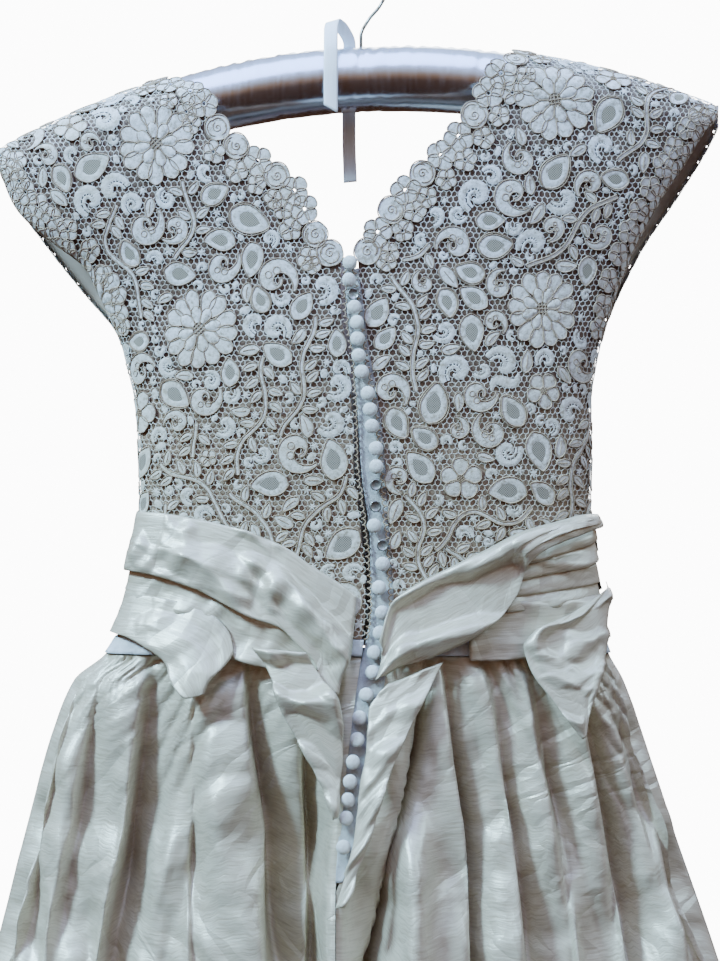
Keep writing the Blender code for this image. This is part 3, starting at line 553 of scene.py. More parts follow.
def pad_radius(x):
    past = np.maximum(0.0, np.abs(x) - (ARM_REACH - ARM_TAPER)) / ARM_TAPER
    return PAD_RADIUS * np.sqrt(np.maximum(0.0, 1 - past**2))


def shoulder_row(row, share, side):
    """One shoulder row from the neck to the sleeve edge, lying over the hanger's padding."""
    neck_x, neck_z, sleeve_x, sleeve_z, depth, cuff = row
    seam = [float(ridge(x)) + PAD_CLEARANCE for x in (neck_x, sleeve_x)]
    z0, z1 = (s if z is None else z for z, s in zip((neck_z, sleeve_z), seam))
    place = across(COLUMNS)
    x = neck_x + (sleeve_x - neck_x) * place
    bow = ridge(x) + PAD_CLEARANCE - (seam[0] + (seam[1] - seam[0]) * place)
    z = z0 + (z1 - z0) * place + bow * (1 - share) ** 2
    y = cuff + depth * np.maximum(np.cos(COLUMNS), 0.0) ** ROUND
    if share > 0:
        up = z - (ridge(x) - PAD_RADIUS)
        reach = np.sqrt(np.maximum(0.0, pad_radius(x) ** 2 - up**2))
        y = np.maximum(y, reach + PAD_CLEARANCE + 1.2)
    return np.stack([x, side * y, z], axis=-1)


def bodice_grid(side, hand, rows, columns):
    """Points of one lace panel, shoulder seam to waist, from the middle to the side."""
    shoulder = SHOULDERS[side, hand]
    made = [shoulder_row(row, i / len(shoulder), side) for i, row in enumerate(shoulder)]
    for middle, at_side in LEVELS[side] + LOWER_LEVELS:
        start = 0.0
        if side == BACK:
            edge = opening(middle, LEFT_EDGE if hand == LEFT else RIGHT_EDGE)
            start = hand * float(angle_at(middle, edge))
        angles = np.array([start, *COLUMNS[1:]])
        z = middle + (at_side - middle) * across(angles) ** 2
        made.append(body_points(z, hand * angles, side))
    return finer(np.array(made), rows, columns)


# ---------------------------------------------------------------- meshes


def make_object(name, points, quads, surface, uv=None):
    """A mesh from points in millimetres and faces, which rides on the dress."""
    mesh = bpy.data.meshes.new(name)
    mesh.from_pydata((np.asarray(points).reshape(-1, 3) * MM).tolist(), [], quads)
    mesh.shade_smooth()
    if uv is not None:
        layer = mesh.uv_layers.new(name="UVMap")
        corner = np.empty(len(mesh.loops), int)
        mesh.loops.foreach_get("vertex_index", corner)
        layer.data.foreach_set("uv", (np.asarray(uv).reshape(-1, 2)[corner] * MM).ravel())
    mesh.materials.append(surface)
    made = add_object(name, mesh)
    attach(made, "root")
    return made


def stands_for(node):
    """Hides the solid that a piece stands in for."""
    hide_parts(node)


def grid_quads(rows, columns):
    first = (np.arange(rows - 1)[:, None] * columns + np.arange(columns - 1)).ravel()
    return np.stack([first, first + columns, first + columns + 1, first + 1], axis=1)


def grid_uv(grid):
    """How far each point of a grid is along its row and down its column."""
    right = np.linalg.norm(np.diff(grid, axis=1), axis=2)
    down = np.linalg.norm(np.diff(grid, axis=0), axis=2)
    u = np.concatenate([np.zeros((grid.shape[0], 1)), np.cumsum(right, axis=1)], axis=1)
    v = np.concatenate([np.zeros((1, grid.shape[1])), np.cumsum(down, axis=0)], axis=0)
    return np.stack([u - u.mean(), -v], axis=-1)


def faces_out(grid, side):
    """A grid with its columns in the order that points its faces out."""
    rising = grid[:, -1, 0].mean() > grid[:, 0, 0].mean()
    return grid if rising == (side == BACK) else grid[:, ::-1]


def add_sheet(name, grid, side, surface, wall=0.5):
    """A sheet of cloth from a grid of points, with its wall inside them where its edges show."""
    grid = faces_out(grid, side)
    quads = grid_quads(*grid.shape[:2]).tolist()
    made = make_object(name, grid, quads, surface, grid_uv(grid))
    if wall:
        add_wall(made, wall)
    return made


def add_wall(piece, wall):
    solid = piece.modifiers.new("wall", "SOLIDIFY")
    solid.thickness, solid.offset = wall * MM, -1


def sway(flat, size, rng):
    """A slow random field over flat points, about -1 to 1."""
    total = 0.0
    for _ in range(5):
        turn, wave = rng.uniform(0, math.pi), size * rng.uniform(0.7, 1.6)
        run = flat[..., 0] * math.cos(turn) + flat[..., 1] * math.sin(turn)
        total = total + np.sin(2 * math.pi * run / wave + rng.uniform(0, 6.28))
    return total / 2.6


def crumple(flat, size, seed, lean=None):
    """Crumpled cloth: flat facets that meet at sharp creases, over points in the cloth's own plane. A
    slope of 1 is as steep as a facet gets. lean makes most creases run near that angle."""
    rng = np.random.default_rng(seed)
    total = 0.0
    for _ in range(6):
        turn = rng.uniform(0, math.pi) if lean is None else lean + rng.normal(0, 0.3)
        wave = size * rng.uniform(0.6, 1.5)
        run = flat[..., 0] * math.cos(turn) + flat[..., 1] * math.sin(turn)
        phase = run / wave + 0.25 * sway(flat, 2.4 * size, rng) + rng.uniform(0, 1)
        facet = np.abs((phase % 1) * 2 - 1) - 0.5
        there = np.clip(0.5 + 0.9 * sway(flat, 3.0 * size, rng), 0, 1)
        total = total + facet * there * wave / 2
    return total / 1.6


# ---------------------------------------------------------------- the skirt


def spread_at(z):
    """How many times wider the skirt is than at FOLD_LEVEL."""
    there = body("right", FOLD_LEVEL) - body("left", FOLD_LEVEL)
    return np.maximum(1.0, (body("right", z) - body("left", z)) / there)


def opening_edge(z, hand):
    """x of the skirt's edge at the centre back: the opening's edge, and the seam below it."""
    upper = opening(z, LEFT_EDGE if hand == LEFT else RIGHT_EDGE)
    seam = SEAM_X * spread_at(z) + hand * SEAM / 2
    return np.where(z > LOWER_SEAM, upper, seam)


def folds(x, z, side):
    """How far the skirt's folds go in, and how far their edges swing over to the right."""
    spread = spread_at(z)
    down = np.clip((SKIRT_TOP - z) / (SKIRT_TOP - FOLD_LEVEL), 0, 1)
    grown = np.minimum(1.0, 0.10 + 1.7 * down)
    depth, swing = np.zeros_like(x), np.zeros_like(x)
    for waist, level, deep, half in TROUGHS[side]:
        middle = (waist + (level - waist) * down) * spread
        middle = middle + 2.5 * np.sin(z / 61.0 + level) + 0.9 * np.sin(z / 23.0 + waist)
        off = (x - middle) / (half * spread * (0.6 + 0.9 * down))
        shape = np.where(off < 0, np.exp(-(np.abs(off / 0.6) ** 1.7)), np.exp(-(np.abs(off / 1.5) ** 1.3)))
        here = FOLD_DEEPER * deep * spread * grown
        depth += here * shape
        swing += FOLD_OVERHANG * here * np.exp(-(((off + 0.95) / 0.6) ** 2))
    return depth, swing


def gathers(x, z, seed):
    """Gathers held by the waist tape: sharp valleys that run into fewer and wider ones further down."""
    down = SKIRT_TOP - z
    rng = np.random.default_rng(seed)
    flat = np.stack([x, z * 0.22], axis=-1)
    total = 0.0
    for pitch, depth, fade in GATHERS:
        phase = x / pitch / (1 + down / (9 * pitch)) + 0.5 * sway(flat, 3 * pitch, rng)
        valley = 1 - np.abs(np.sin(math.pi * phase)) ** 0.75
        there = np.clip(0.6 + 0.7 * sway(flat, 5 * pitch, rng), 0.1, 1)
        total = total - depth * valley * there * np.exp(-down / fade)
    return total * np.clip(down / 5.0 + 0.2, 0.2, 1)


def skirt_grid(side, start, end, rows, columns, seed):
    """Points of a skirt panel between two edges, each given as x for each height or as an angle."""
    near = np.linspace(SKIRT_TOP, FINE_ABOVE, int(rows * FINE_SHARE), endpoint=False)
    z = np.concatenate([near, np.linspace(FINE_ABOVE, HEM, rows - len(near))])[:, None]
    first, last = (angle_at(z, edge(z)) if callable(edge) else edge for edge in (start, end))
    angle = first + (last - first) * np.linspace(0, 1, columns)
    points = body_points(z + 0 * angle, angle, side)
    x, zz = points[..., 0].copy(), points[..., 2].copy()
    depth, swing = folds(x, zz, side)
    depth *= np.maximum(np.cos(angle), 0.0) ** 0.5
    fade = np.ones_like(x)
    if side == BACK:
        left, right = opening_edge(zz, LEFT), opening_edge(zz, RIGHT)
        inside = np.where(x > (left + right) / 2, x - right, left - x)
        fade = 1 - np.exp(-((np.maximum(0.0, inside - OPENING_FLAT) / OPENING_FADE) ** 2))
    depth = np.minimum(depth * fade, 0.72 * np.abs(points[..., 1]))
    grown = np.clip((SKIRT_TOP - zz) / 120, 0, 1)
    off = (np.degrees(np.abs(angle)) - SIDE_FOLD_AT) / SIDE_FOLD_HALF
    points[..., 0] -= np.sign(angle) * SIDE_FOLD_DEPTH * grown * spread_at(zz) * np.exp(-(off**2))
    points[..., 0] += swing * fade * np.maximum(np.cos(angle), 0.0)
    cloth = np.stack([x + 0.5 * depth, zz], axis=-1)
    loose = np.clip((SKIRT_TOP - zz) / 110, 0.05, 1) * (0.3 + 0.7 * fade)
    lift = gathers(x, zz, seed) * (0.3 + 0.7 * fade)
    for slope, narrow, size, step, lean in CRUMPLES:
        lift += loose * slope * crumple(cloth * (1, narrow), size, seed + step, lean)
    lift = lift * np.maximum(np.cos(angle), 0.05) ** 0.4
    lift = lift * (1 - np.exp(-(((90 - np.degrees(np.abs(angle))) / 5.0) ** 2)))
    points[..., 1] -= side * (depth - lift + 1.0)
    points[..., 0] += np.sign(angle) * (lift - 1.0) * np.abs(np.sin(angle)) ** 6
    return points


def add_skirt(silk):
    """The gathered skirt: two panels behind, which the opening parts, and one in front."""
    for name, side, start, end, size, seed, width in (
        ("skirt_back_left", BACK, lambda z: opening_edge(z, LEFT), -QUARTER, (130, 180), 2, 0.62),
        ("skirt_back_right", BACK, lambda z: opening_edge(z, RIGHT), QUARTER, (130, 180), 4, 0.62),
        ("skirt_front", FRONT, -QUARTER, QUARTER, (110, 170), 9, 1.25),
    ):
        grid = skirt_grid(side, start, end, *size, seed)
        piece = add_sheet("silk_" + name, grid, side, silk, 0)
        stands_for(name)


# ---------------------------------------------------------------- lace: figures drawn flat


def petal_half(u, base=0.35, wide=0.62):
    """Half-width of a petal along its length, as a share of its greatest."""
    rise = base + (1 - base) * np.sin(math.pi / 2 * np.clip(u / wide, 0, 1))
    tip = np.sqrt(np.clip(1 - (np.clip(u - wide, 0, 1) / (1 - wide)) ** 2, 0.02, 1))
    return rise * tip


def bend_line(length, bend, count):
    """A line along +x that bends sideways, as points."""
    u = np.linspace(0, 1, count)
    return np.stack([length * u, bend * np.sin(math.pi * u)], axis=1)


def leaf_stroke(length, width, bend, count):
    """The middle line and half-widths of a pointed leaf."""
    u = np.linspace(0, 1, count)
    half = width / 2 * np.clip(np.sin(math.pi * u**0.8) ** 0.75, 0.05, 1)
    return bend_line(length, bend, count), half


def sides(line, half):
    """The two outlines of a stroke, at its half-width either side of its middle line."""
    run = unit(np.gradient(line, axis=0))
    over = np.stack([-run[:, 1], run[:, 0]], axis=1) * np.asarray(half)[:, None]
    return line + over, line - over


class Figure:
    """A figure of the lace: filled strokes, rings round net centres, net centres and cords. Its hulls
    are the strokes that take up ground."""

    def __init__(self):
        self.fills, self.rings, self.nets, self.cords, self.hulls = [], [], [], [], []

    def fill(self, line, half, lift=0.9, hull=True):
        line, half = np.asarray(line, float), np.asarray(half, float)
        self.fills.append((line, half, lift))
        if hull:
            self.hulls.append((line, half))

    def outline(self, line, half, closed=True, grow=0.15):
        """A cord round a stroke."""
        one, two = sides(line, np.asarray(half) + grow)
        self.cords.append((np.concatenate([one, two[::-1]]), closed))

    def cord(self, line, closed=False):
        self.cords.append((np.asarray(line, float), closed))

    def eye(self, line, half, share, lift=0.8):
        """A stroke filled at its rim only, round a centre of net."""
        outer = np.concatenate([sides(line, half)[0], sides(line, half)[1][::-1][1:-1]])
        middle = outer.mean(axis=0)
        inner = middle + (outer - middle) * share
        self.rings.append((outer, inner, lift))
        self.nets.append((middle + (line - middle) * share, np.asarray(half) * share * 1.04))
        self.hulls.append((line, np.asarray(half, float)))

    def add(self, other):
        for mine, theirs in zip(self.lists(), other.lists()):
            mine.extend(theirs)

    def lists(self):
        return (self.fills, self.rings, self.nets, self.cords, self.hulls)

    def moved(self, x, y, turn=0.0, flip=1, size=1.0):
        c, s = math.cos(turn) * size, math.sin(turn) * size
        matrix = np.array([[c, s], [-s, c]])
        move = lambda line: (line * (1, flip)) @ matrix + (x, y)
        made = Figure()
        made.fills = [(move(a), b * size, c) for a, b, c in self.fills]
        made.rings = [(move(a), move(b), c) for a, b, c in self.rings]
        made.nets = [(move(a), b * size) for a, b in self.nets]
        made.cords = [(move(a), b) for a, b in self.cords]
        made.hulls = [(move(a), b * size) for a, b in self.hulls]
        return made

    def discs(self):
        """Discs that cover the figure: x, y and radius."""
        return np.concatenate([np.column_stack(hull) for hull in self.hulls])


def petals(figure, count, start, length, width, rng, turn=0.0, lift=0.9, ribs=False, closed=False):
    """A ring of petals round the origin."""
    for k in range(count):
        at = turn + 2 * math.pi * k / count + rng.uniform(-0.05, 0.05)
        u = np.linspace(0, 1, 9)
        size = rng.uniform(0.92, 1.06)
        line = bend_line(length * size, rng.uniform(-0.7, 0.7), 9) + (start, 0)
        half = width / 2 * petal_half(u) * rng.uniform(0.93, 1.04)
        single = Figure()
        single.fill(line, half, lift)
        single.outline(line, half, closed)
        if ribs and rng.random() < 0.6:
            single.cord(line[1:6])
        figure.add(single.moved(0, 0, at))


def round_line(radius, count=12):
    turn = np.linspace(0, 2 * math.pi, count, endpoint=False)
    return radius * np.stack([np.cos(turn), np.sin(turn)], axis=1)


def round_stroke(radius, count, least):
    """The middle line and half-widths of a stroke that makes a disc, which least keeps open-ended."""
    w = np.linspace(-1, 1, count)
    return np.stack([w * radius, 0 * w], axis=1), radius * np.sqrt(np.clip(1 - w**2, least, 1))


def net_disc(figure, radius):
    figure.nets.append(round_stroke(radius, 7, 0.04))
    for k in (-0.5, 0.0, 0.5):
        reach = radius * math.sqrt(1 - k * k)
        for swap in (1, -1):
            cut = np.array([(-reach, k * radius), (0, k * radius), (reach, k * radius)])
            figure.cord(cut[:, ::swap])
    figure.cord(round_line(radius), True)


def great_flower(rng):
    """A chrysanthemum of two rings of petals round a centre of net."""
    made = Figure()
    petals(made, 13, 12.5, 16.5, 11.5, rng, 0.1, 0.9)
    petals(made, 8, 5.0, 12.0, 8.2, rng, 0.3, 1.9, True, True)
    net_disc(made, 5.2)
    return made


def five_flower(rng, radius=16.5):
    made = Figure()
    petals(made, 5, 0.17 * radius, 0.83 * radius, 0.80 * radius, rng, rng.uniform(0, 2), 0.9, False, True)
    net_disc(made, 0.19 * radius)
    return made


def small_flower(rng, radius=8.5):
    made = Figure()
    petals(made, 5, 0.1 * radius, 0.9 * radius, 0.92 * radius, rng, rng.uniform(0, 2), 0.8)
    made.cord(round_line(0.22 * radius, 7), True)
    return made


def leaf(rng, length=21.0, width=13.5):
    """A pointed leaf with a rim of filling round a centre of net."""
    made = Figure()
    line, half = leaf_stroke(length, width, rng.uniform(-2.0, 2.0), 11)
    made.eye(line, half, 0.52)
    made.outline(line, half)
    if rng.random() < 0.5:
        made.outline(line, half, grow=1.25)
    return made


def full_leaf(rng, length=18.0, width=9.0):
    made = Figure()
    line, half = leaf_stroke(length, width, rng.uniform(-1.8, 1.8), 10)
    made.fill(line, half)
    made.outline(line, half)
    made.cord(line[2:8])
    return made


def coil(radius, turns, count, inner=0.2, start=0.0):
    """A spiral that tightens from its radius, as points."""
    u = np.linspace(0, 1, count)
    r = radius * (1 - (1 - inner) * u**0.8)
    a = start + turns * 2 * math.pi * u
    return np.stack([r * np.cos(a), r * np.sin(a)], axis=1)


def scroll(rng, radius=13.0):
    """A corded C-scroll: a crescent whose end curls in, with discs in its hollow."""
    made = Figure()
    line = coil(radius, 1.12, 30, 0.25, rng.uniform(0, 1))
    u = np.linspace(0, 1, 30)
    half = 0.34 * radius * np.clip(np.sin(math.pi * np.clip(u * 1.25, 0, 1)) ** 0.8, 0.16, 1)
    line = line - np.clip(half * 0.5, 0, 9)[:, None] * line / np.linalg.norm(line, axis=1, keepdims=True)
    made.fill(line, half)
    made.outline(line, half)
    for at, r in ((2.4, 0.17), (3.6, 0.15)):
        dot = Figure()
        dot.fill(*round_stroke(r * radius, 7, 0.05))
        dot.cord(round_line(r * radius, 10), True)
        made.add(dot.moved(0.36 * radius * math.cos(at), 0.36 * radius * math.sin(at)))
    return made


def rosebud(rng, radius=9.4):
    """A bud of the neckline's scallops: a lobed round with corded petals that wind to its middle."""
    made = Figure()
    made.fill(*round_stroke(radius, 13, 0.02), 0.7)
    turn = np.linspace(0, 2 * math.pi, 30, endpoint=False)
    lobes = 1.0 + 0.06 * np.abs(np.sin(2 * turn + rng.uniform(0, 6)))
    made.cord(round_line(radius, 30) * lobes[:, None], True)
    for _ in range(3):
        arc = rng.uniform(0, 6.28) + np.linspace(0, 2.3, 12)
        bow = radius * (rng.uniform(0.62, 0.78) + 0.12 * np.sin(np.linspace(0, math.pi, 12)))
        made.cord(np.stack([bow * np.cos(arc), bow * np.sin(arc)], axis=1))
    made.cord(coil(0.45 * radius, 1.5, 20, 0.12, rng.uniform(0, 6)))
    return made


def comma(rng, radius=9.5):
    """An uncorded figure that curls like a comma, with a row of holes inside its toothed rim."""
    made = Figure()
    turns = rng.uniform(0.7, 1.15)
    line = coil(radius * 0.8, turns, 26, 0.18, rng.uniform(0, 6))
    u = np.linspace(0, 1, 26)
    half = radius * (0.30 * np.sin(math.pi * np.clip(u * 0.9 + 0.1, 0, 1)) ** 0.6 + 0.06)
    if radius < 6:
        made.fill(line, half, 0.7)
        return made
    run = unit(np.gradient(line, axis=0))
    over = np.stack([run[:, 1], -run[:, 0]], axis=1)
    teeth = 1 + 0.22 * (np.arange(26) % 2)
    made.fill(line + over * (0.42 * half)[:, None], 0.58 * half * teeth, 0.7, False)
    inner = line - over * (0.78 * half)[:, None]
    made.fill(inner[:24], 0.2 * half[:24] + 0.25, 0.6, False)
    for k in range(2, 24, 2):
        ends = [line[k] - over[k] * 0.7 * half[k], line[k] - over[k] * 0.1 * half[k]]
        made.fill(np.array([ends[0], (ends[0] + ends[1]) / 2, ends[1]]), np.full(3, 0.38), 0.5, False)
    made.hulls.append((line, half))
    return made


def small_comma(rng):
    return comma(rng, 5.0)


def tendril(_, length=24.0):
    """An uncorded S-shaped figure."""
    made = Figure()
    u = np.linspace(0, 1, 24)
    line = np.stack([length * u, 4.5 * np.sin(2 * math.pi * u)], axis=1)
    teeth = 1 + 0.2 * (np.arange(24) % 2)
    made.fill(line, (0.7 + 2.7 * np.sin(math.pi * u) ** 0.7) * teeth, 0.7)
    return made


def star(rng, radius=3.6):
    made = Figure()
    for k in range(3):
        a = k * math.pi / 3 + rng.uniform(-0.1, 0.1)
        w = np.linspace(-1, 1, 5)
        line = np.stack([w * radius * math.cos(a), w * radius * math.sin(a)], axis=1)
        made.fill(line, radius * 0.32 * (1.15 - np.abs(w)), 0.6)
    return made


def blob(rng, radius=2.6):
    made = Figure()
    w = np.linspace(-1, 1, 7)
    line = np.stack([w * radius * rng.uniform(1.0, 1.7), 0.5 * np.sin(3 * w)], axis=1)
    made.fill(line, radius * np.sqrt(np.clip(1 - w**2, 0.06, 1)), 0.6)
    return made


# ---------------------------------------------------------------- lace: a panel laid out flat


class Panel:
    """A lace panel with its design plane: s runs across, from the middle, and t runs up."""

    CELL, FINE, MARGIN = 2.0, 1.0, 14.0
    STRETCH = 1.15  # the most that the cloth's own shape, carried past its edges, may grow

    def __init__(self, grid, side, hand, shoulder_rows):
        self.side, self.hand, self.grid = side, hand, grid
        step = np.linalg.norm(np.diff(grid, axis=1), axis=2)
        run = np.concatenate([np.zeros((len(grid), 1)), np.cumsum(step, axis=1)], axis=1)
        s = grid[:, :1, 0] + hand * run
        rise = np.linalg.norm(np.diff(grid[..., 1:], axis=0), axis=2)
        up = np.cumsum(rise[::-1], axis=0)[::-1]
        t = grid[-1:, :, 2] + np.concatenate([up, np.zeros((1, grid.shape[1]))], axis=0)
        self.flat = np.stack([s, t], axis=-1)
        k = shoulder_rows
        self.edges = {
            "neck": self.flat[: k + 1, 0],
            "centre": self.flat[k:, 0],
            "sleeve": self.flat[: k + 1, -1],
        }
        self.low = self.flat.reshape(-1, 2).min(axis=0) - self.MARGIN
        self.high = self.flat.reshape(-1, 2).max(axis=0) + self.MARGIN
        self.lay_out()
        self.measure()
        self.figures = []

    def lay_out(self):
        """Finds the place in space of each cell of the design plane, past the cloth's edges as well."""
        space, flat = self.grid, self.flat
        rows, columns = flat.shape[:2]
        corners = np.concatenate([flat, np.zeros((rows, columns, 1))], axis=2).reshape(-1, 3)
        quads = grid_quads(rows, columns)
        faces = np.concatenate([quads[:, [0, 1, 2]], quads[:, [0, 2, 3]]])
        tree = BVHTree.FromPolygons(corners.tolist(), faces.tolist())
        places = space.reshape(-1, 3)
        size = np.ceil((self.high - self.low) / self.CELL).astype(int) + 1
        self.space = np.full((size[1], size[0], 3), np.nan)
        down = Vector((0, 0, -1))
        for j in range(size[1]):
            for i in range(size[0]):
                x, y = self.low[0] + i * self.CELL, self.low[1] + j * self.CELL
                where, _, index, _ = tree.ray_cast(Vector((x, y, 5.0)), down)
                beyond = 0.0
                if where is None:
                    where, _, index, beyond = tree.find_nearest(Vector((x, y, 0.0)))
                a, b, c = faces[index]
                p, q, r = corners[a, :2], corners[b, :2], corners[c, :2]
                area = (q[0] - p[0]) * (r[1] - p[1]) - (r[0] - p[0]) * (q[1] - p[1])
                found = []
                for s, t in ((where.x, where.y), (x, y)):
                    v = ((s - p[0]) * (r[1] - p[1]) - (r[0] - p[0]) * (t - p[1])) / area
                    w = ((q[0] - p[0]) * (t - p[1]) - (s - p[0]) * (q[1] - p[1])) / area
                    found.append(places[a] * (1 - v - w) + places[b] * v + places[c] * w)
                reach = found[1] - found[0]
                far = np.linalg.norm(reach)
                if far > self.STRETCH * beyond:
                    reach *= self.STRETCH * beyond / far
                self.space[j, i] = found[0] + reach
        self.out = normals(self.space, self.side)

    def place(self, flat, lift=0.0):
        """Points in space of points in the design plane, lifted off the cloth."""
        at = (np.asarray(flat) - self.low) / self.CELL
        at = np.clip(at, 0, np.array(self.space.shape[1::-1]) - 1.001)
        i, j = at[..., 0].astype(int), at[..., 1].astype(int)
        u, v = (at[..., 0] - i)[..., None], (at[..., 1] - j)[..., None]
        made = []
        for layer in (self.space, self.out):
            low = layer[j, i] * (1 - u) + layer[j, i + 1] * u
            top = layer[j + 1, i] * (1 - u) + layer[j + 1, i + 1] * u
            made.append(low * (1 - v) + top * v)
        return made[0] + made[1] * np.asarray(lift)[..., None]

    def measure(self):
        """How far each fine cell is inside the panel."""
        size = np.ceil((self.high - self.low) / self.FINE).astype(int) + 1
        x = self.low[0] + np.arange(size[0]) * self.FINE
        y = self.low[1] + np.arange(size[1]) * self.FINE
        self.cells = np.stack(np.meshgrid(x, y), axis=-1)
        edges = [self.flat[0], self.flat[:, -1], self.flat[-1][::-1], self.flat[::-1, 0]]
        ring = np.concatenate(edges)
        inside = np.zeros(self.cells.shape[:2], bool)
        px, py = self.cells[..., 0], self.cells[..., 1]
        for a, b in zip(ring, np.roll(ring, -1, axis=0)):
            if a[1] != b[1]:
                cross = (a[1] > py) != (b[1] > py)
                inside ^= cross & (px < (b[0] - a[0]) * (py - a[1]) / (b[1] - a[1]) + a[0])
        self.inner = self.away_from(ring) * np.where(inside, 1, -1)
        self.free = self.inner + 1.0

    def away_from(self, line):
        """How far each fine cell is from the nearest point of a line."""
        px, py = self.cells[..., 0], self.cells[..., 1]
        away = np.full(px.shape, 1e9)
        for x, y in line:
            away = np.minimum(away, (px - x) ** 2 + (py - y) ** 2)
        return np.sqrt(away)

    def read(self, layer, flat):
        """A layer's values at points of the design plane."""
        at = np.round((np.asarray(flat) - self.low) / self.FINE).astype(int)
        at = np.clip(at, 0, np.array(layer.shape[::-1]) - 1)
        return layer[at[..., 1], at[..., 0]]

    def mark(self, figure):
        """Takes up the figure's ground and keeps it."""
        reach = 34  # fine cells round a disc whose free ground it may lessen
        for x, y, radius in figure.discs():
            i = int((x - self.low[0]) / self.FINE)
            j = int((y - self.low[1]) / self.FINE)
            window = (slice(max(0, j - reach), j + reach), slice(max(0, i - reach), i + reach))
            cells = self.cells[window]
            away = np.hypot(cells[..., 0] - x, cells[..., 1] - y) - radius
            self.free[window] = np.minimum(self.free[window], away)
        self.figures.append(figure)

    def fits(self, figure, gap):
        """Whether the ground under a figure is free, with a gap round it."""
        discs = figure.discs()
        return bool((self.read(self.free, discs[:, :2]) >= discs[:, 2] + gap).all())

    def at(self, x, z):
        """The place in the design plane of the cloth's point at x and z."""
        away = (self.grid[..., 0] - x) ** 2 + (self.grid[..., 2] - z) ** 2
        return self.flat[np.unravel_index(away.argmin(), away.shape)]

    def vine(self, start, heading, length, rng):
        """A corded stem that wanders over free ground, with leaves on both its sides."""
        line, phase = [np.asarray(start, float)], rng.uniform(0, 6)
        headings = [heading]
        for k in range(int(length / 3)):
            heading += rng.normal(0, 0.08) + 0.13 * math.sin(k / 3.5 + phase)
            after = line[-1] + 3 * np.array([math.cos(heading), math.sin(heading)])
            if self.read(self.free, after) < 2.4:
                break
            line.append(after)
            headings.append(heading)
        if len(line) < 6:
            return
        line = np.array(line)
        stem = Figure()
        stem.fill(line, np.full(len(line), 1.1), 0.7)
        stem.outline(line, np.full(len(line), 1.2), False)
        self.mark(stem)
        hand = rng.choice([-1, 1])
        for k in range(2, len(line), 3):
            for side in (hand, -hand):
                turn = headings[k] + side * rng.uniform(0.75, 1.15)
                over = np.array([math.cos(turn), math.sin(turn)])
                x, y = line[k] + over * 2.6
                for size in (1.25, 1.05, 0.85, 0.65):
                    draw = leaf if size > 0.8 else full_leaf
                    figure = draw(rng).moved(x, y, turn, rng.choice([-1, 1]), size)
                    if self.fits(figure, 0.3):
                        self.mark(figure)
                        break
                hand = -hand

    def scatter(self, draw, tries, most, gap, rng, sizes):
        """Puts in figures wherever a random place has room, up to the most wanted."""
        placed = 0
        for _ in range(tries):
            x, y = self.low + rng.random(2) * (self.high - self.low)
            if self.read(self.free, (x, y)) < 2:
                continue
            figure = draw(rng).moved(0, 0, 0, 1, rng.uniform(*sizes))
            for _ in range(5):
                turned = figure.moved(x, y, rng.uniform(0, 2 * math.pi), rng.choice([-1, 1]))
                if self.fits(turned, gap):
                    self.mark(turned)
                    placed += 1
                    break
            if placed >= most:
                return

    def border(self, edge, draw, spacing, inward, rng, start=0.5, sizes=(0.95, 1.05)):
        """Figures in a row along an edge, a little way in from it."""
        line = self.edges[edge]
        keys = along(line)
        count = max(1, round(keys[-1] / spacing))
        for k in range(count):
            key = keys[-1] * (k + start) / count
            point = np.array([np.interp(key, keys, line[:, i]) for i in (0, 1)])
            ahead = np.array([np.interp(key + 2, keys, line[:, i]) for i in (0, 1)])
            behind = np.array([np.interp(key - 2, keys, line[:, i]) for i in (0, 1)])
            run = unit(ahead - behind)
            over = np.array([-run[1], run[0]])
            if self.read(self.inner, point + over * 6) < self.read(self.inner, point - over * 6):
                over = -over
            x, y = point + over * inward
            turn = rng.uniform(0, 2 * math.pi)
            self.mark(draw(rng).moved(x, y, turn, 1, rng.uniform(*sizes)))


class Mesher:
    """Collects strips and tubes as points and faces."""

    def __init__(self):
        self.points, self.quads, self.count = [], [], 0

    def strip(self, grid, closed=False):
        """A grid of points, rows along it; closed joins its last row to its first."""
        rows, columns = grid.shape[:2]
        quads = grid_quads(rows, columns)
        if closed:
            first = (rows - 1) * columns + np.arange(columns - 1)
            wrap = np.stack([first, first - (rows - 1) * columns], 1)
            quads = np.concatenate(
                [quads, np.stack([wrap[:, 0], wrap[:, 1], wrap[:, 1] + 1, wrap[:, 0] + 1], 1)]
            )
        self.points.append(grid.reshape(-1, 3))
        self.quads.append(quads + self.count)
        self.count += rows * columns

    def tube(self, line, out, radius, closed=False, around=5):
        """A round cord along a line of points, each with a direction across it."""
        run = np.gradient(line, axis=0)
        if closed:
            run[0] = run[-1] = line[1] - line[-1]
        over = unit(np.cross(unit(run), out))
        turns = np.linspace(0, 2 * math.pi, around + 1)[:, None, None]
        ring = line + radius * (np.cos(turns) * out + np.sin(turns) * over)
        self.strip(ring.swapaxes(0, 1), closed)

    def make(self, name, surface):
        points, quads = np.concatenate(self.points), np.concatenate(self.quads)
        return make_object(name, points, quads.tolist(), surface)


def resample(line, step, closed):
    """A line with its points evenly apart."""
    if closed:
        line = np.concatenate([line, line[:1]])
    keys = along(line)
    count = max(3, int(round(keys[-1] / step)) + 1)
    at = np.linspace(0, keys[-1], count)
    made = np.stack([np.interp(at, keys, line[:, i]) for i in (0, 1)], axis=1)
    return made[:-1] if closed else made


def between(one, two, shares):
    """A grid of points across from one line to another, at shares of the way."""
    share = np.array(shares)[None, :, None]
    return one[:, None] * (1 - share) + two[:, None] * share


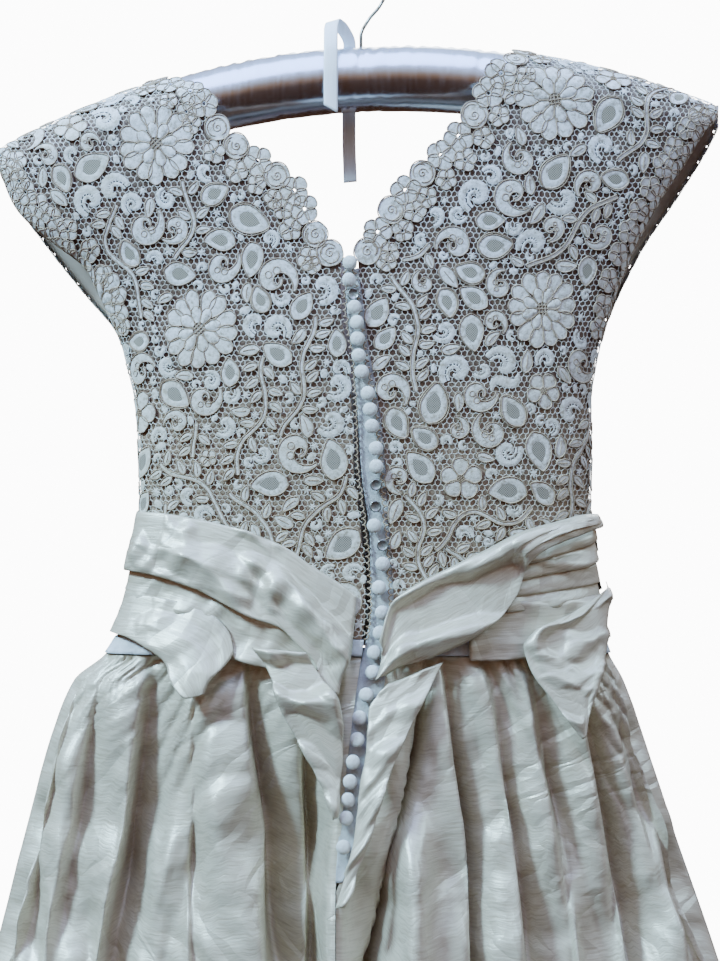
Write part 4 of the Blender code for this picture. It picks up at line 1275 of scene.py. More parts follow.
def work_figures(panel, figures, patches, cords, step, around):
    """Lays a panel's figures on its cloth, with cords of that step along and that many sides."""
    over = np.array([-1, -0.62, 0, 0.62, 1] if around > 3 else [-1, 0, 1])
    dome = np.array([0.1, 0.75, 1, 0.75, 0.1] if around > 3 else [0.1, 1, 0.1])
    for figure in panel.figures:
        for line, half, lift in figure.fills:
            one, two = sides(line, half)
            figures.strip(panel.place(between(two, one, (over + 1) / 2), 0.55 * lift * dome))
        for outer, inner, lift in figure.rings:
            rim = 0.5 * lift * np.array([0.1, 0.9, 0.9, 0.1])
            figures.strip(panel.place(between(inner, outer, (0, 0.3, 0.7, 1)), rim), True)
        for line, half in figure.nets:
            one, two = sides(line, half)
            patches.strip(panel.place(between(two, one, (0, 0.5, 1)), 0.15))
        for line, closed in figure.cords:
            line = resample(line, step, closed)
            low, top = panel.place(line, 0.45), panel.place(line, 1.45)
            cords.tube(low, top - low, 0.46, closed, around)


# How far the net's cells are moved about, and its thread's half-width and height.
NET_SHIFT, NET_HALF, NET_LIFT = 1.15, 0.32, 0.35


def work_net(panel, net, rng, pitch):
    """Net of uneven six-sided cells over the ground that the figures leave."""
    low, high = panel.low, panel.high
    columns = int((high[0] - low[0]) / pitch) + 2
    rows = int((high[1] - low[1]) / (pitch * 0.866)) + 2
    j, i = np.mgrid[0:rows, 0:columns]
    centre = np.stack([low[0] + pitch * (i + 0.5 * (j % 2)), low[1] + pitch * 0.866 * j], axis=-1)
    centre += rng.uniform(-NET_SHIFT, NET_SHIFT, centre.shape)
    odd = (j % 2)[:-1, :-1]
    own, right = centre[:-1, :-1], centre[:-1, 1:]
    above = np.where(odd[..., None] == 1, centre[1:, 1:], centre[1:, :-1])
    up_left = np.full_like(own, np.nan)
    up_left[:, 1:] = np.where(odd[:, 1:, None] == 1, centre[1:, 1:-1], centre[1:, :-2])
    corner_a = (own + right + above) / 3
    corner_b = (own + above + up_left) / 3
    below, below_right, beside = (np.full_like(own, np.nan) for _ in range(3))
    below[1:] = corner_b[:-1]
    below_right[1:, :-1] = corner_b[:-1, 1:]
    beside[:, :-1] = corner_b[:, 1:]
    under = np.where(odd[..., None] == 0, below, below_right)
    pairs = [np.stack([corner_a, other], axis=2) for other in (corner_b, under, beside)]
    ends = np.concatenate([pair.reshape(-1, 2, 2) for pair in pairs])
    ends = ends[np.isfinite(ends).all(axis=(1, 2))]
    length = np.linalg.norm(ends[:, 1] - ends[:, 0], axis=1)
    ends = ends[(length > 0.6) & (length < 1.4 * pitch)]
    middle = ends.mean(axis=1)
    inside = panel.read(panel.net_reach, ends).min(axis=1) > 0
    clear = panel.read(panel.ground, middle) > -0.9
    ends = ends[inside & clear]
    run = unit(ends[:, 1] - ends[:, 0])
    over = np.stack([-run[:, 1], run[:, 0]], axis=1) * NET_HALF
    share = np.array([-1, 0, 1])[None, None, :, None]
    flat = ends[:, :, None] + over[:, None, None] * share
    for grid in panel.place(flat, np.array([0.0, NET_LIFT, 0.0])):
        net.strip(grid)


def design(panel, rng, great, density):
    """Places a panel's figures, the largest first."""
    for x, z in great:
        s, t = panel.at(x, z)
        panel.mark(great_flower(rng).moved(s, t, rng.uniform(0, 1), 1, rng.uniform(0.97, 1.03)))
    flower = lambda r: small_flower(r, 8.6)
    edging = lambda r: rosebud(r) if r.random() < 0.45 else small_flower(r, 11.5)
    panel.border("neck", edging, 18.6, 7.4, rng)
    panel.border("sleeve", flower, 14.5, 6.0, rng)
    panel.border("sleeve", flower, 16.0, 20.0, rng)
    if panel.side == BACK:
        panel.border("neck", flower, 18.6, 22.5, rng, 1.0, (0.8, 1.0))
    for _ in range(int(26 * density)):
        start = panel.low + rng.random(2) * (panel.high - panel.low)
        if panel.read(panel.free, start) > 4:
            panel.vine(start, rng.choice([-1, 1]) * math.pi / 2 + rng.normal(0, 0.5), 95, rng)
    for draw, tries, most, gap, sizes in (
        (scroll, 500, 9, 0.4, (1.05, 1.4)),
        (leaf, 500, 9, 0.4, (1.2, 1.5)),
        (five_flower, 500, 5, 0.4, (0.8, 1.0)),
        (comma, 700, 12, 0.5, (1.2, 1.5)),
        (leaf, 1500, 16, 0.4, (0.95, 1.3)),
        (scroll, 1200, 14, 0.4, (0.7, 0.95)),
        (comma, 2500, 26, 0.5, (0.8, 1.1)),
        (tendril, 900, 10, 0.5, (0.8, 1.1)),
        (full_leaf, 2500, 26, 0.4, (0.75, 1.1)),
        (small_flower, 3000, 26, 0.4, (0.7, 1.0)),
        (small_comma, 4000, 50, 0.5, (0.8, 1.15)),
        (star, 6000, 80, 0.8, (0.8, 1.15)),
        (blob, 6000, 70, 0.8, (0.8, 1.2)),
    ):
        panel.scatter(draw, int(tries * density), int(most * density), gap, rng, sizes)
    panel.ground = panel.free
    reach = panel.inner
    for edge in ("neck", "sleeve"):
        reach = np.minimum(reach, panel.away_from(panel.edges[edge]) - 6.0)
    panel.net_reach = reach + 0.3


def picots(panel, cords, rng):
    """Small loops of cord along the centre edge."""
    line = resample(panel.edges["centre"], 4.6, False)
    turn = np.linspace(0, math.pi, 7)
    for a, b in zip(line, line[1:]):
        run = b - a
        over = np.array([-run[1], run[0]])
        if panel.read(panel.inner, (a + b) / 2 + over) > 0:
            over = -over
        size = rng.uniform(0.45, 0.75)
        loop = a + run * (1 - np.cos(turn))[:, None] / 2 + over * (size * np.sin(turn))[:, None]
        base, top = panel.place(loop, 0.2), panel.place(loop, 1.2)
        cords.tube(base, top - base, 0.55)


def add_lace():
    """The lace of the two back panels and of the front, each over a fine lining of tulle."""
    fill = lace_fill_material()
    thread = lace_thread_material("lace_thread", (0.72, 0.68, 0.64), (0.52, 0.45, 0.38))
    # The cord's tan is its own colour, made darker than the thread so that it also paints the shade along
    # each cord.
    cord = lace_thread_material("lace_cord", (0.50, 0.375, 0.27), (0.30, 0.195, 0.12))
    centres = net_centre_material()
    # The back tulle's dark tones are painted shade of the hollow between the lace layers; its palest top is
    # painted light of the satin behind.
    tulle = tulle_painted_shade_and_light_material(
        "lace_tulle_painted_shade",
        (0.0, (0.38, 0.255, 0.16)),
        (0.34, (0.33, 0.22, 0.14)),
        (0.44, (0.20, 0.12, 0.078)),
        (0.70, (0.175, 0.10, 0.067)),
        (0.86, (0.24, 0.165, 0.125)),
        (0.95, (0.40, 0.34, 0.31)),
    )
    # The front's tulle is paler than the back's: painted light on its inner side, which lies in shade.
    front_tulle_painted_light = tulle_painted_shade_and_light_material("lace_tulle_front_painted_light", (0.0, (0.66, 0.52, 0.41)), (1.0, (0.70, 0.56, 0.45)))
    great = {
        LEFT: [(-149, -143), (-119, -278), (-196, -262)],
        RIGHT: [(140, -115), (132, -263)],
    }
    front = [(FRONT, hand, [(hand * 120, -210), (hand * 90, -390)]) for hand in (LEFT, RIGHT)]
    for number, (name, halves, density) in enumerate(
        (
            ("lace_back_left", [(BACK, LEFT, great[LEFT])], 1.0),
            ("lace_back_right", [(BACK, RIGHT, great[RIGHT])], 1.0),
            ("lace_front", front, 0.5),
        )
    ):
        figures, patches, cords, net, lining = Mesher(), Mesher(), Mesher(), Mesher(), Mesher()
        rng = np.random.default_rng(11 + number)
        for side, hand, flowers in halves:
            grid = bodice_grid(side, hand, 90, 48)
            k = int(np.abs(grid[:, 0, 2] - (LEVELS[side][0][0] - 2)).argmin())
            panel = Panel(grid, side, hand, k)
            design(panel, rng, flowers, density)
            step, around, pitch = (1.6, 4, 4.3) if side == BACK else (2.6, 3, 5.6)
            work_figures(panel, figures, patches, cords, step, around)
            work_net(panel, net, rng, pitch)
            if side == BACK:
                picots(panel, cords, rng)
            lining.strip(lining_grid(panel))
        made = [
            figures.make(name + "_figures", fill),
            patches.make(name + "_centres", centres),
            cords.make(name + "_cords", cord),
            net.make(name + "_net", thread),
        ]
        backing = lining.make(name + "_tulle", front_tulle_painted_light if name == "lace_front" else tulle)
        for piece in (*made, backing):
            stands_for(name)


def lining_grid(panel):
    """The tulle behind a panel's lace, set back from its free edges."""
    grid, flat = panel.grid, panel.flat
    rows, columns = flat.shape[:2]
    u = np.linspace(0, 1, columns)[None, :, None]
    width = np.linalg.norm(flat[:, -1] - flat[:, 0], axis=1)[:, None, None]
    k = len(panel.edges["neck"]) - 1
    j = np.arange(rows)[:, None, None]
    above = np.clip((k - j) / 4.0, 0, 1)
    near = (1.5 + 6.0 * above) / width
    far = (0.5 + (6.0 if panel.side == BACK else 4.0) * above) / width
    at = near + (1 - near - far) * u
    place = np.clip(at[..., 0] * (columns - 1), 0, columns - 1.001)
    i = place.astype(int)
    part = (place - i)[..., None]
    row = np.arange(rows)[:, None]
    inset = grid[row, i] * (1 - part) + grid[row, i + 1] * part
    spot = flat[row, i] * (1 - part) + flat[row, i + 1] * part
    out = panel.place(spot, 1.0) - panel.place(spot)
    return inset - 1.6 * out


# ---------------------------------------------------------------- the sash and the loose silk

# Bands at the back: x, top, bottom, how far the top and the bottom stand out.
BANDS = {
    "sash_left_upper": [
        (-200, -411, -452, 2.2, 8.0),
        (-156, -412, -456, 2.2, 8.0),
        (-115, -418, -467, 2.2, 8.5),
        (-75, -429, -486, 2.2, 9.0),
        (-52, -439, -494, 2.2, 9.5),
        (-38, -449, -506, 2.2, 9.5),
        (-23, -458, -520, 2.2, 8.5),
        (-12, -465, -537, 2.2, 7.5),
        (-3, -472, -541, 2.2, 6.0),
        (3.5, -477, -516, 2.2, 5.0),
    ],
    "sash_left_middle": [
        (-200, -442, -478, 6.5, 6.5),
        (-165, -445, -480, 4.5, 4.5),
        (-145, -448, -483, 2.4, 2.4),
        (-110, -458, -489, 2.2, 2.2),
        (-84, -474, -514, 2.2, 2.4),
        (-60, -480, -522, 2.2, 3.0),
        (-35, -492, -524, 2.2, 3.4),
        (-12, -508, -525, 2.2, 3.0),
    ],
    "sash_left_lower": [
        (-200, -470, -494, 4.2, 6.0),
        (-156, -472, -502, 4.2, 6.0),
        (-134, -475, -511, 4.2, 6.5),
        (-115, -480, -521, 4.4, 8.5),
        (-100, -486, -533, 4.6, 11.0),
        (-87, -497, -544, 4.8, 12.0),
        (-78, -512, -541, 6.0, 11.0),
    ],
    "sash_right_upper": [
        (17, -505, -532, 5.0, 7.0),
        (22, -480, -528, 2.6, 7.0),
        (30, -472, -522, 2.6, 7.5),
        (51, -459, -514, 2.6, 9.0),
        (81, -445, -498, 2.6, 10.5),
        (106, -432, -471, 3.4, 10.5),
        (115, -429, -449, 4.4, 10.0),
        (129, -424, -437, 5.0, 9.5),
        (148, -418, -429, 5.2, 9.0),
        (200, -409, -417, 5.2, 8.5),
    ],
    "sash_right_lower": [
        (74, -480, -518, 3.0, 3.4),
        (92, -477, -518, 3.0, 3.8),
        (115, -476, -516, 3.0, 3.8),
        (150, -474, -507, 3.0, 3.4),
        (200, -470, -500, 3.0, 3.2),
    ],
}
# Pleats, top to bottom: height at the side and at the inner end, how far the fold stands out.
PLEATS = {
    "sash_right_pleats": [
        (-420, -446, 2.2),
        (-431, -453, 4.6),
        (-433, -455, 2.2),
        (-446, -462, 4.8),
        (-448, -464, 2.2),
        (-462, -472, 4.6),
        (-464, -474, 2.4),
        (-478, -484, 3.0),
    ],
    "sash_front": [
        (-411, -421, 2.2),
        (-441, -452, 6.6),
        (-443, -454, 2.6),
        (-469, -482, 6.8),
        (-471, -484, 2.6),
        (-500, -512, 5.6),
    ],
}
PLEATS_START = 100.0  # x of the inner end of the pleats at the back
# Loose strips, top to bottom: x and height of the left and right sides, how far each stands out.
STRIPS = {
    "sash_left_tail": [
        (-71, -508, -37, -512, 10.5, 12.5),
        (-60, -532, -26, -530, 11.0, 12.0),
        (-54, -552, -17, -546, 11.0, 10.5),
        (-44, -572, -13, -564, 9.5, 9.0),
        (-33, -592, -12.5, -586, 8.0, 7.5),
        (-24, -611, -15.4, -606, 6.5, 6.0),
        (-20, -628, -17.4, -626, 5.5, 5.5),
    ],
    "sash_right_flap": [
        (133, -492, 178, -463, 8.5, 9.0),
        (110, -508, 170, -490, 10.5, 10.5),
        (114, -524, 167, -512, 11.5, 12.0),
        (126, -543, 160, -532, 12.5, 13.0),
        (139, -561, 154, -552, 13.0, 13.0),
        (148, -573, 151, -571, 13.0, 13.0),
    ],
    "placket_facing": [
        (19, -534, 57, -519, 4.6, 4.6),
        (5, -552, 43, -545, 5.0, 7.5),
        (4, -574, 31, -568, 5.4, 10.0),
        (1, -597, 21, -591, 5.6, 11.0),
        (-2.5, -619, 13, -614, 5.8, 11.0),
        (-6.5, -648, 5, -644, 5.4, 9.0),
        (-14, -675, -6, -672, 4.6, 6.0),
        (-18, -688, -11, -686, 4.0, 4.6),
    ],
}
# Flat size of each sash piece in metres: width and length.
SASH_FLAT = {
    "sash_left_upper": (0.22, 0.055),
    "sash_left_middle": (0.20, 0.036),
    "sash_left_lower": (0.135, 0.048),
    "sash_right_upper": (0.20, 0.044),
    "sash_right_lower": (0.135, 0.036),
    "sash_right_pleats": (0.09, 0.05),
    "sash_front": (0.43, 0.11),
    "sash_left_tail": (0.04, 0.13),
    "sash_right_flap": (0.06, 0.115),
    "placket_facing": (0.04, 0.175),
}


def press(grid, side, seed, crease, size, edge=2.0):
    """Cloth's own shape on a grid: its crumples, and edges that roll in."""
    uv = grid_uv(grid)
    from_side = np.minimum(uv[..., 0] - uv[:, :1, 0], uv[:, -1:, 0] - uv[..., 0])
    from_end = np.minimum(-uv[..., 1], uv[..., 1] - uv[-1:, :, 1])
    near = np.maximum(np.minimum(from_side, from_end), 0)
    roll = -0.25 * np.exp(-near / edge)
    flat = uv * (0.62, 1.25)
    lift = crease * (0.30 * crumple(flat, 1.6 * size, seed) + 0.26 * crumple(uv, 0.75 * size, seed + 9))
    lift += crease * 0.02 * crumple(uv, size * 0.3, seed + 19)
    out = normals(grid, side)
    fade = np.minimum(1, 0.75 + near / 12)
    lift = np.maximum(lift + 0.7 * crease, -0.2) * fade * (0.2 + 0.8 * np.abs(out[..., 1]))
    return grid + out * (roll + lift)[..., None]


def band_grid(table, rows, columns):
    table = np.array(sorted(table), float)
    hand = -1 if table[0, 0] < -100 else 1
    near = table[np.abs(table[:, 0]).argmin(), 0]
    low, high = sorted((float(angle_at(-470, near)), hand * QUARTER))
    angle = np.linspace(low, high, columns)
    x = body_points(-470, angle, BACK)[..., 0]
    top, bottom, out_top, out_bottom = smooth(table[:, 0], table[:, 1:], x).T
    share = np.linspace(0, 1, rows)[:, None]
    z = top + (bottom - top) * share
    out = out_top + (out_bottom - out_top) * share**0.8
    ridges = np.sin(3 * math.pi * (share + 0.10 * np.sin(x / 31.0))) ** 2
    return body_points(z, angle, BACK, out + 0.35 * ridges * (1 - share) ** 0.3 * np.sqrt(share))


def pleat_grid(table, rows, columns, side):
    table = np.array(table, float)
    start = float(angle_at(-440, PLEATS_START)) if side == BACK else -QUARTER
    angle = np.linspace(start, QUARTER, columns)
    low = math.sin(angle[0]) if side == BACK else 0.0
    share = (np.sin(np.abs(angle)) - low) / (1 - low)
    at = np.linspace(0, len(table) - 1, rows)
    keys = np.arange(len(table))
    at_side, inner, out = (np.interp(at, keys, table[:, i])[:, None] for i in (0, 1, 2))
    z = inner + (at_side - inner) * share
    sag = 0.6 * np.sin(at * math.pi)[:, None] ** 2
    return body_points(z, angle, side, out + sag)


def strip_grid(table, rows, columns, bulge=1.3):
    table = np.array(table, float)
    keys = along(table[:, :2])
    read = smooth(keys, table, np.linspace(0, keys[-1], rows))
    lx, lz, rx, rz, lo, ro = (read[:, i : i + 1] for i in range(6))
    share = np.linspace(0, 1, columns)[None, :]
    out = lo + (ro - lo) * share + bulge * np.sin(math.pi * share) ** 0.7
    return on_back(lx + (rx - lx) * share, lz + (rz - lz) * share, out)


def add_sash(silk):
    """Every piece of the sash, and the silk facing that hangs from the opening."""
    crease = {
        "sash_right_pleats": (0.6, 26),
        "sash_front": (0.9, 40),
        "placket_facing": (1.1, 34),
        "sash_left_middle": (0.7, 34),
        "sash_left_lower": (0.7, 50),
        "sash_right_lower": (0.6, 34),
    }
    for number, name in enumerate(SASH_FLAT):
        if name in BANDS:
            grid, side = band_grid(BANDS[name], 36, 100), BACK
        elif name in PLEATS:
            side = FRONT if name == "sash_front" else BACK
            grid = pleat_grid(PLEATS[name], 46, 70 if side == BACK else 90, side)
        else:
            grid, side = strip_grid(STRIPS[name], 80, 36), BACK
        amount, size = crease.get(name, (1.6, 42))
        grid = press(grid, side, 30 + number, amount, size)
        piece = add_sheet("silk_" + name, grid, side, silk, 0.6)
        stands_for(name)


# ---------------------------------------------------------------- lining, placket, tape, ribbon


def add_underbodice(surface):
    """The strapless lining, in two halves behind and one piece in front."""
    tops = np.array([(0, -322), (55, -300), (90, -302), (130, -326), (190, -356)], float)

    def half(side, first, last):
        angle = np.linspace(first, last, 60)
        x = np.abs(body_points(-330, angle, side)[..., 0])
        top = smooth(tops[:, 0], tops[:, 1], x)
        share = np.linspace(0, 1, 40)[:, None]
        return body_points(top + (LACE_BOTTOM - top) * share, angle, side, -3.4)

    left = float(angle_at(-330, opening(-330, LEFT_EDGE) - 1.5))
    right = float(angle_at(-330, opening(-330, RIGHT_EDGE) + 2.5))
    for name, side, first, last, width in (
        ("underbodice_back_left", BACK, -QUARTER, left, 0.21),
        ("underbodice_back_right", BACK, right, QUARTER, 0.20),
        ("underbodice_front", FRONT, -QUARTER, QUARTER, 0.42),
    ):
        grid = half(side, first, last)
        grid[..., 1] -= side * (0.8 + 0.05 * crumple(grid[..., ::2], 55.0, 17))
        piece = add_sheet(name + "_silk", grid, side, surface, 0.5)
        stands_for(name)


def add_placket(surface):
    """The strip behind the opening, which the buttons are sewn on."""
    z = np.linspace(-236, -672, 200)[:, None]
    first, last = opening(z, PLACKET_EDGE), opening(z, RIGHT_EDGE) + 1.5
    share = np.linspace(0, 1, 12)[None, :]
    ripple = 0.25 * np.sin(z / 6.5) + 0.2 * np.sin(z / 2.9 + 1)
    grid = on_back(first + (last - first) * share, z, -2.4 + ripple * np.sin(math.pi * share))
    piece = add_sheet("button_placket_strip", grid, BACK, surface, 0.8)
    stands_for("button_placket")


RIBS_TOP = -505.0  # the tape is smooth above this height


def add_tape(surface):
    """The ribbed tape at the waist, which the skirt is gathered on."""
    mesher = Mesher()
    for hand, which in ((LEFT, LEFT_EDGE), (RIGHT, RIGHT_EDGE)):
        for side in (BACK, FRONT):
            edge = float(angle_at(TAPE_TOP, opening(TAPE_TOP, which))) if side == BACK else 0.0
            angle = np.linspace(edge, hand * QUARTER, 110)
            z = np.linspace(TAPE_TOP, TAPE_BOTTOM, 6)[:, None]
            ribs = 0.35 * np.sin(np.degrees(angle) / 1.7) * (z < RIBS_TOP)
            mesher.strip(faces_out(body_points(z, angle, side, ribs), side))
    piece = mesher.make("waist_tape_ribs", surface)
    add_wall(piece, 0.6)
    stands_for("waist_tape")


# The ribbon, from its end at the back of the dress, up round the hook's stem and over the padding, to
# its end at the front: x, y and height of its middle, and its half-width along x and along z.
RIBBON = [
    (-22.0, -28.5, -119, 5.0, 0.5),
    (-22.0, -28.5, -94, 5.0, 0.0),
    (-22.0, -26.5, -76, 5.0, 0.0),
    (-22.0, -19.0, -60, 5.0, 0.0),
    (-20.0, -9.0, -51, 4.6, 1.6),
    (-13.0, -2.0, -56, 3.2, 3.6),
    (-8.5, 6.0, -65, 4.4, 1.6),
    (-8.5, 15.0, -71.5, 5.0, 0.0),
    (-9.0, 24.0, -81, 5.0, 0.0),
    (-9.0, 27.5, -97, 5.0, 0.0),
    (-9.0, 27.0, -130, 5.0, 0.0),
    (-8.0, 25.5, -165, 5.0, 0.5),
]


def add_ribbon(surface):
    """The ribbon tied round the hook's foot."""
    table = np.array(RIBBON)
    keys = along(table[:, :3])
    read = smooth(keys, table, np.linspace(0, keys[-1], 90))
    share = np.linspace(-1, 1, 9)[None, :]
    x, y, z, half_x, half_z = (read[:, i : i + 1] for i in range(5))
    slant = 3.5 * np.clip(1 - np.arange(90)[:, None] / 9.0, 0, 1)
    grid = np.stack([x + half_x * share, y - 0.5 * (1 - share**2), z + half_z * share - slant * share], -1)
    piece = add_sheet("hanger_ribbon_satin", grid, BACK, surface, 0.4)
    stands_for("hanger_ribbon")


# ---------------------------------------------------------------- hanger and buttons


def add_padding(surface):
    """The padded bar: satin ruched along a seam on its top, with creases that run down from it."""
    rng = np.random.default_rng(5)
    columns, around = 330, 52
    place = np.sin(np.linspace(-math.pi / 2, math.pi / 2, columns)) * 0.25
    place += np.linspace(-1, 1, columns) * 0.75
    x = place * (ARM_REACH - 0.6)
    turn = np.linspace(0, 2 * math.pi, around, endpoint=False)
    radius = pad_radius(x)[:, None] * np.ones(around)
    lift = np.zeros_like(radius)
    at = -ARM_REACH
    while at < ARM_REACH:
        near_hook = math.exp(-((at / 26) ** 2))
        depth = rng.uniform(0.15, 0.8) + 1.1 * near_hook * rng.uniform(0.3, 1)
        width = rng.uniform(1.6, 4.0)
        reach = rng.uniform(0.5, 1.4)
        slant = rng.uniform(-5, 5) - 0.35 * at * near_hook
        bow = np.minimum(turn, 2 * math.pi - turn)
        line = at + slant * bow
        fade = np.exp(-((bow / reach) ** 2)) + 0.35 * np.exp(-(((math.pi - bow) / 0.8) ** 2))
        lift -= depth * fade * np.exp(-(((x[:, None] - line) / width) ** 2))
        at += rng.uniform(5, 14) * (1 - 0.4 * near_hook)
    bow = np.minimum(turn, 2 * math.pi - turn)
    lift += 1.2 * np.exp(-((bow / 0.11) ** 2)) * (0.6 + 0.4 * np.sin(x[:, None] / 1.7))
    radius = np.maximum(radius + lift * np.clip(radius / 14, 0, 1), 0.3)
    middle = (ridge(x) - PAD_RADIUS)[:, None]
    grid = np.stack([x[:, None] + 0 * radius, radius * np.sin(turn), middle + radius * np.cos(turn)], -1)
    ends = [(end, 0, float(ridge(end)) - PAD_RADIUS) for end in (-ARM_REACH, ARM_REACH)]
    points = np.concatenate([grid.reshape(-1, 3), ends])
    i, j = np.mgrid[0 : columns - 1, 0:around]
    after = (j + 1) % around
    quads = np.stack([i * around + j, (i + 1) * around + j, (i + 1) * around + after, i * around + after], -1)
    faces = quads.reshape(-1, 4).tolist()
    last = columns * around
    for k in range(around):
        faces.append((k, (k + 1) % around, last))
        faces.append(((columns - 1) * around + (k + 1) % around, (columns - 1) * around + k, last + 1))
    piece = make_object("hanger_satin", points, [f[::-1] for f in faces], surface)
    stands_for("hanger_padding")


def add_hook(surface):
    """The bent wire hook with its rounded end."""
    centre_z = 1.2 - 21.0
    stem = [(0.0, -68.2), (0.0, -60.5), (5.5, -48.5), (13.5, centre_z - 19.0)]
    turns = np.radians(np.linspace(-22, 200, 40))
    arc = [(21 * math.cos(a), centre_z + 21 * math.sin(a)) for a in turns]
    line = np.array(stem + arc)
    keys = along(line)
    flat = smooth(keys, line, np.linspace(0, keys[-1], 160))
    path = np.stack([flat[:, 0], 0 * flat[:, 0], flat[:, 1]], -1)
    mesher = Mesher()
    out = np.tile([0.0, -1.0, 0.0], (len(path), 1))
    mesher.tube(path, out, 1.2, False, 12)
    end = path[-1] + 0.6 * (path[-1] - path[-2]) / np.linalg.norm(path[-1] - path[-2])
    mesher.tube(np.array([path[-1], (path[-1] + end) / 2, end]), out[:3], 1.0, False, 12)
    piece = mesher.make("hanger_hook_wire", surface)
    stands_for("hanger_hook")


# Buttons from the top: x, height and how far each tips over, in degrees.
BUTTONS = [
    (-8.0, -232, 0),
    (-9.0, -245, 25),
    (-5.5, -255, 0),
    (-5.0, -264.5, 10),
    (-2.5, -275.5, -20),
    (-2.5, -287, 0),
    (-1.8, -299.5, 8),
    (0.5, -311, 0),
    (5.2, -326.5, -12),
    (6.5, -338, 0),
    (7.7, -350, 6),
    (10.7, -366, 0),
    (11.0, -379, -8),
    (10.7, -392, 0),
    (10.0, -407.5, 10),
    (9.5, -421.5, 0),
    (15.5, -435.5, 0),
    (15.5, -449, 0),
    (13.0, -466, -10),
    (14.7, -484, 14),
    (13.6, -498.5, 0),
    (9.5, -512.5, 0),
    (8.0, -526.5, 6),
    (3.8, -542, 0),
    (-1.0, -558, 0),
    (-2.4, -573, -15),
    (-6.2, -588.5, 18),
    (-8.2, -602, 24),
    (-9.8, -614.5, 24),
    (-11.0, -627, 24),
    (-12.6, -647, 12),
]
BARE = (3, 14, 15, 17)  # numbers of the buttons that have lost their covers


def turned(name, profile, surface, around=28, ripple=0.0):
    """A shape turned about Z from a profile of radius and height."""
    profile = np.array(profile, float)
    turn = np.linspace(0, 2 * math.pi, around, endpoint=False)
    wave = 1 + ripple * np.sin(11 * turn) * np.clip(1 - profile[:, 1:] / 3, 0, 1)
    x = profile[:, :1] * np.cos(turn) * wave
    y = profile[:, :1] * np.sin(turn) * wave
    grid = np.stack([x, y, profile[:, 1:] + 0 * x], -1)
    faces = []
    for i in range(len(profile) - 1):
        for j in range(around):
            k = (j + 1) % around
            faces.append((i * around + j, (i + 1) * around + j, (i + 1) * around + k, i * around + k))
    faces.append(tuple(range(around)))
    faces.append(tuple((len(profile) - 1) * around + j for j in range(around))[::-1])
    return make_object(name, grid, faces, surface)


def add_buttons(cloth, metal):
    """Domed buttons with gathered covers, and the bare shells of four."""
    dome = [(0.3, 4.6)]
    for a in np.radians(np.linspace(82, 0, 9)):
        dome.append((5.3 * math.cos(a) ** 0.8, 1.5 + 3.1 * math.sin(a)))
    dome += [(5.25, 0.9), (4.9, 0.35), (4.2, 0.05), (1.1, 0.0), (1.1, -2.6)]
    shell = [(0.3, 2.3), (2.9, 2.3), (3.3, 2.7), (3.9, 2.75), (4.25, 2.3), (4.3, 0.6), (3.8, 0.1)]
    shell += [(1.1, 0), (1.1, -2.6)]
    for number, (x, z, tip) in enumerate(BUTTONS, 1):
        name = f"button_{number:02d}"
        if number in BARE:
            piece = turned(name + "_bare", shell, metal, 28)
        else:
            piece = turned(name + "_covered", dome, cloth, 28, 0.025)
        turn = math.radians(tip)
        lean = math.atan2(float(body("back", z - 5.0) - body("back", z + 5.0)), 10)
        out = 0.6 + 5.3 * abs(math.sin(turn))
        piece.location = [float(v) * MM for v in on_back(x, z, out)]
        piece.rotation_euler = (math.pi / 2 - lean, 0.0, turn)
        stands_for(name)


def satin_material(name, tone, gloss):
    """Bright satin: long smooth floats that mirror what is above and below it."""
    made = Shade(name, Metallic=gloss)
    streak = made.noise(made.place(scale=(500, 60, 60)), 1.0, 3.0)
    made.to("Base Color", made.ramp(streak, (0.3, tuple(0.92 * v for v in tone)), (0.7, tone)))
    made.to("Roughness", made.ramp(streak, (0.3, (0.19,) * 3), (0.7, (0.27,) * 3)))
    made.bump(streak, 0.06, 0.0002)
    made.bump(made.noise(made.place(), 55.0, 2.0), 0.12, 0.002)
    return made.made


def metal_material(name, tone, rust):
    made = Shade(name, Metallic=1.0, Roughness=0.4)
    wear = made.noise(made.place(), 600.0, 4.0)
    made.to("Base Color", made.ramp(wear, (0.42, rust), (0.58, tone)))
    made.to("Roughness", made.ramp(wear, (0.4, (0.65,) * 3), (0.6, (0.32,) * 3)))
    made.bump(wear, 0.3, 0.0002)
    return made.made


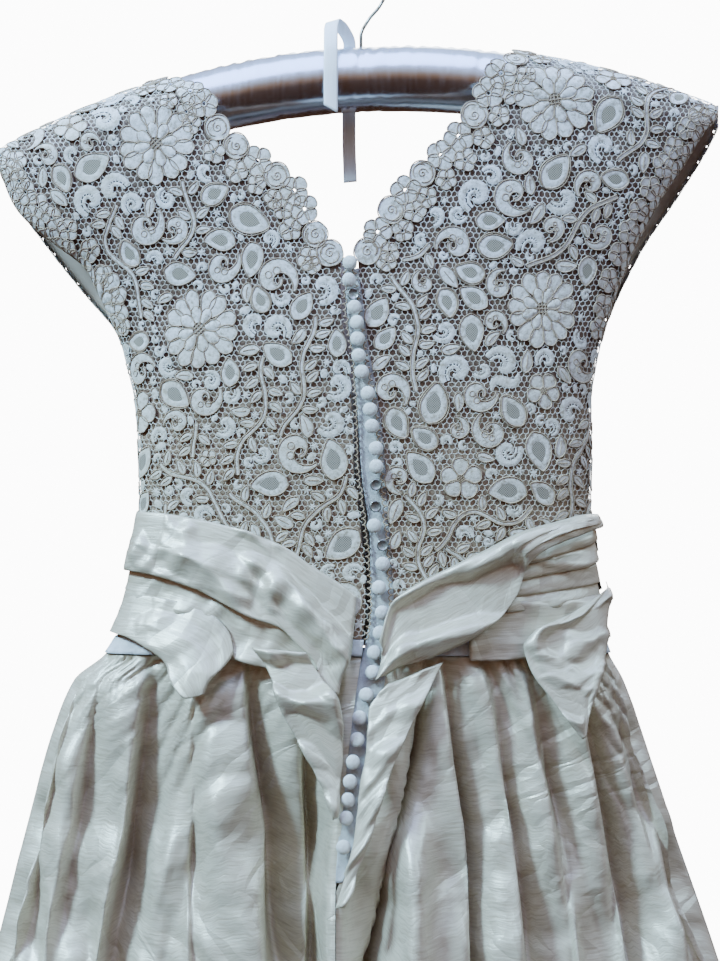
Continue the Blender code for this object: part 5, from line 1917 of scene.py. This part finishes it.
def add_floor():
    """A plain pale floor under the hem."""
    turn = np.linspace(0, 2 * math.pi, 96, endpoint=False)
    ring = np.stack([650 * np.cos(turn), 650 * np.sin(turn), np.full(96, -1760.0)], -1)
    mesh = bpy.data.meshes.new("floor")
    mesh.from_pydata((ring * MM).tolist(), [], [tuple(range(96))])
    made = Shade("floor", Roughness=0.9)
    mottle = made.noise(made.place(), 6.0)
    made.to("Base Color", made.ramp(mottle, (0.3, (0.50, 0.49, 0.47)), (0.7, (0.55, 0.54, 0.52))))
    mesh.materials.append(made.made)
    add_object("floor", mesh)


# ---------------------------------------------------------------- main

add_camera()
add_world()
add_light("key", (-1.9, -1.2, 1.35), (0, 0, -0.45), 0.6, 190, (0.46, 0.84, 1.16))
add_light("side", (2.0, -1.0, 1.1), (0, 0, -0.5), 0.8, 28, (0.50, 0.84, 1.10))
add_light("top", (-0.2, -0.5, 1.1), (0, 0, -0.1), 1.5, 20, (0.50, 0.72, 1.5))
add_light("rear", (0.6, 2.4, 1.0), (0, 0, -0.6), 1.8, 40, (0.9, 0.96, 1.0))
add_floor()
SILK = silk_material("silk", (0.67, 0.585, 0.44), 0.5)
add_skirt(SILK)
add_sash(SILK)
add_lace()
COTTON = woven_material("cotton", (0.66, 0.67, 0.65), (0.46, 0.44, 0.41), 900)
add_underbodice(woven_material("lining", (0.60, 0.52, 0.40), (0.44, 0.36, 0.26), 1100, 0.6))
add_placket(COTTON)
add_tape(woven_material("tape", (0.80, 0.80, 0.80), (0.62, 0.61, 0.60), 800, 0.6))
add_ribbon(satin_material("ribbon", (0.97, 0.98, 1.0), 0.0))
SATIN = satin_material("satin", (0.80, 0.88, 1.0), 1.0)
add_padding(SATIN)
METAL = metal_material("wire", (0.30, 0.28, 0.25), (0.16, 0.12, 0.09))
add_hook(METAL)
add_buttons(
    woven_material("covered", (0.80, 0.80, 0.76), (0.68, 0.66, 0.60), 1300, 0.6, 0.0002),
    metal_material("shell", (0.42, 0.43, 0.42), (0.22, 0.20, 0.17)),
)
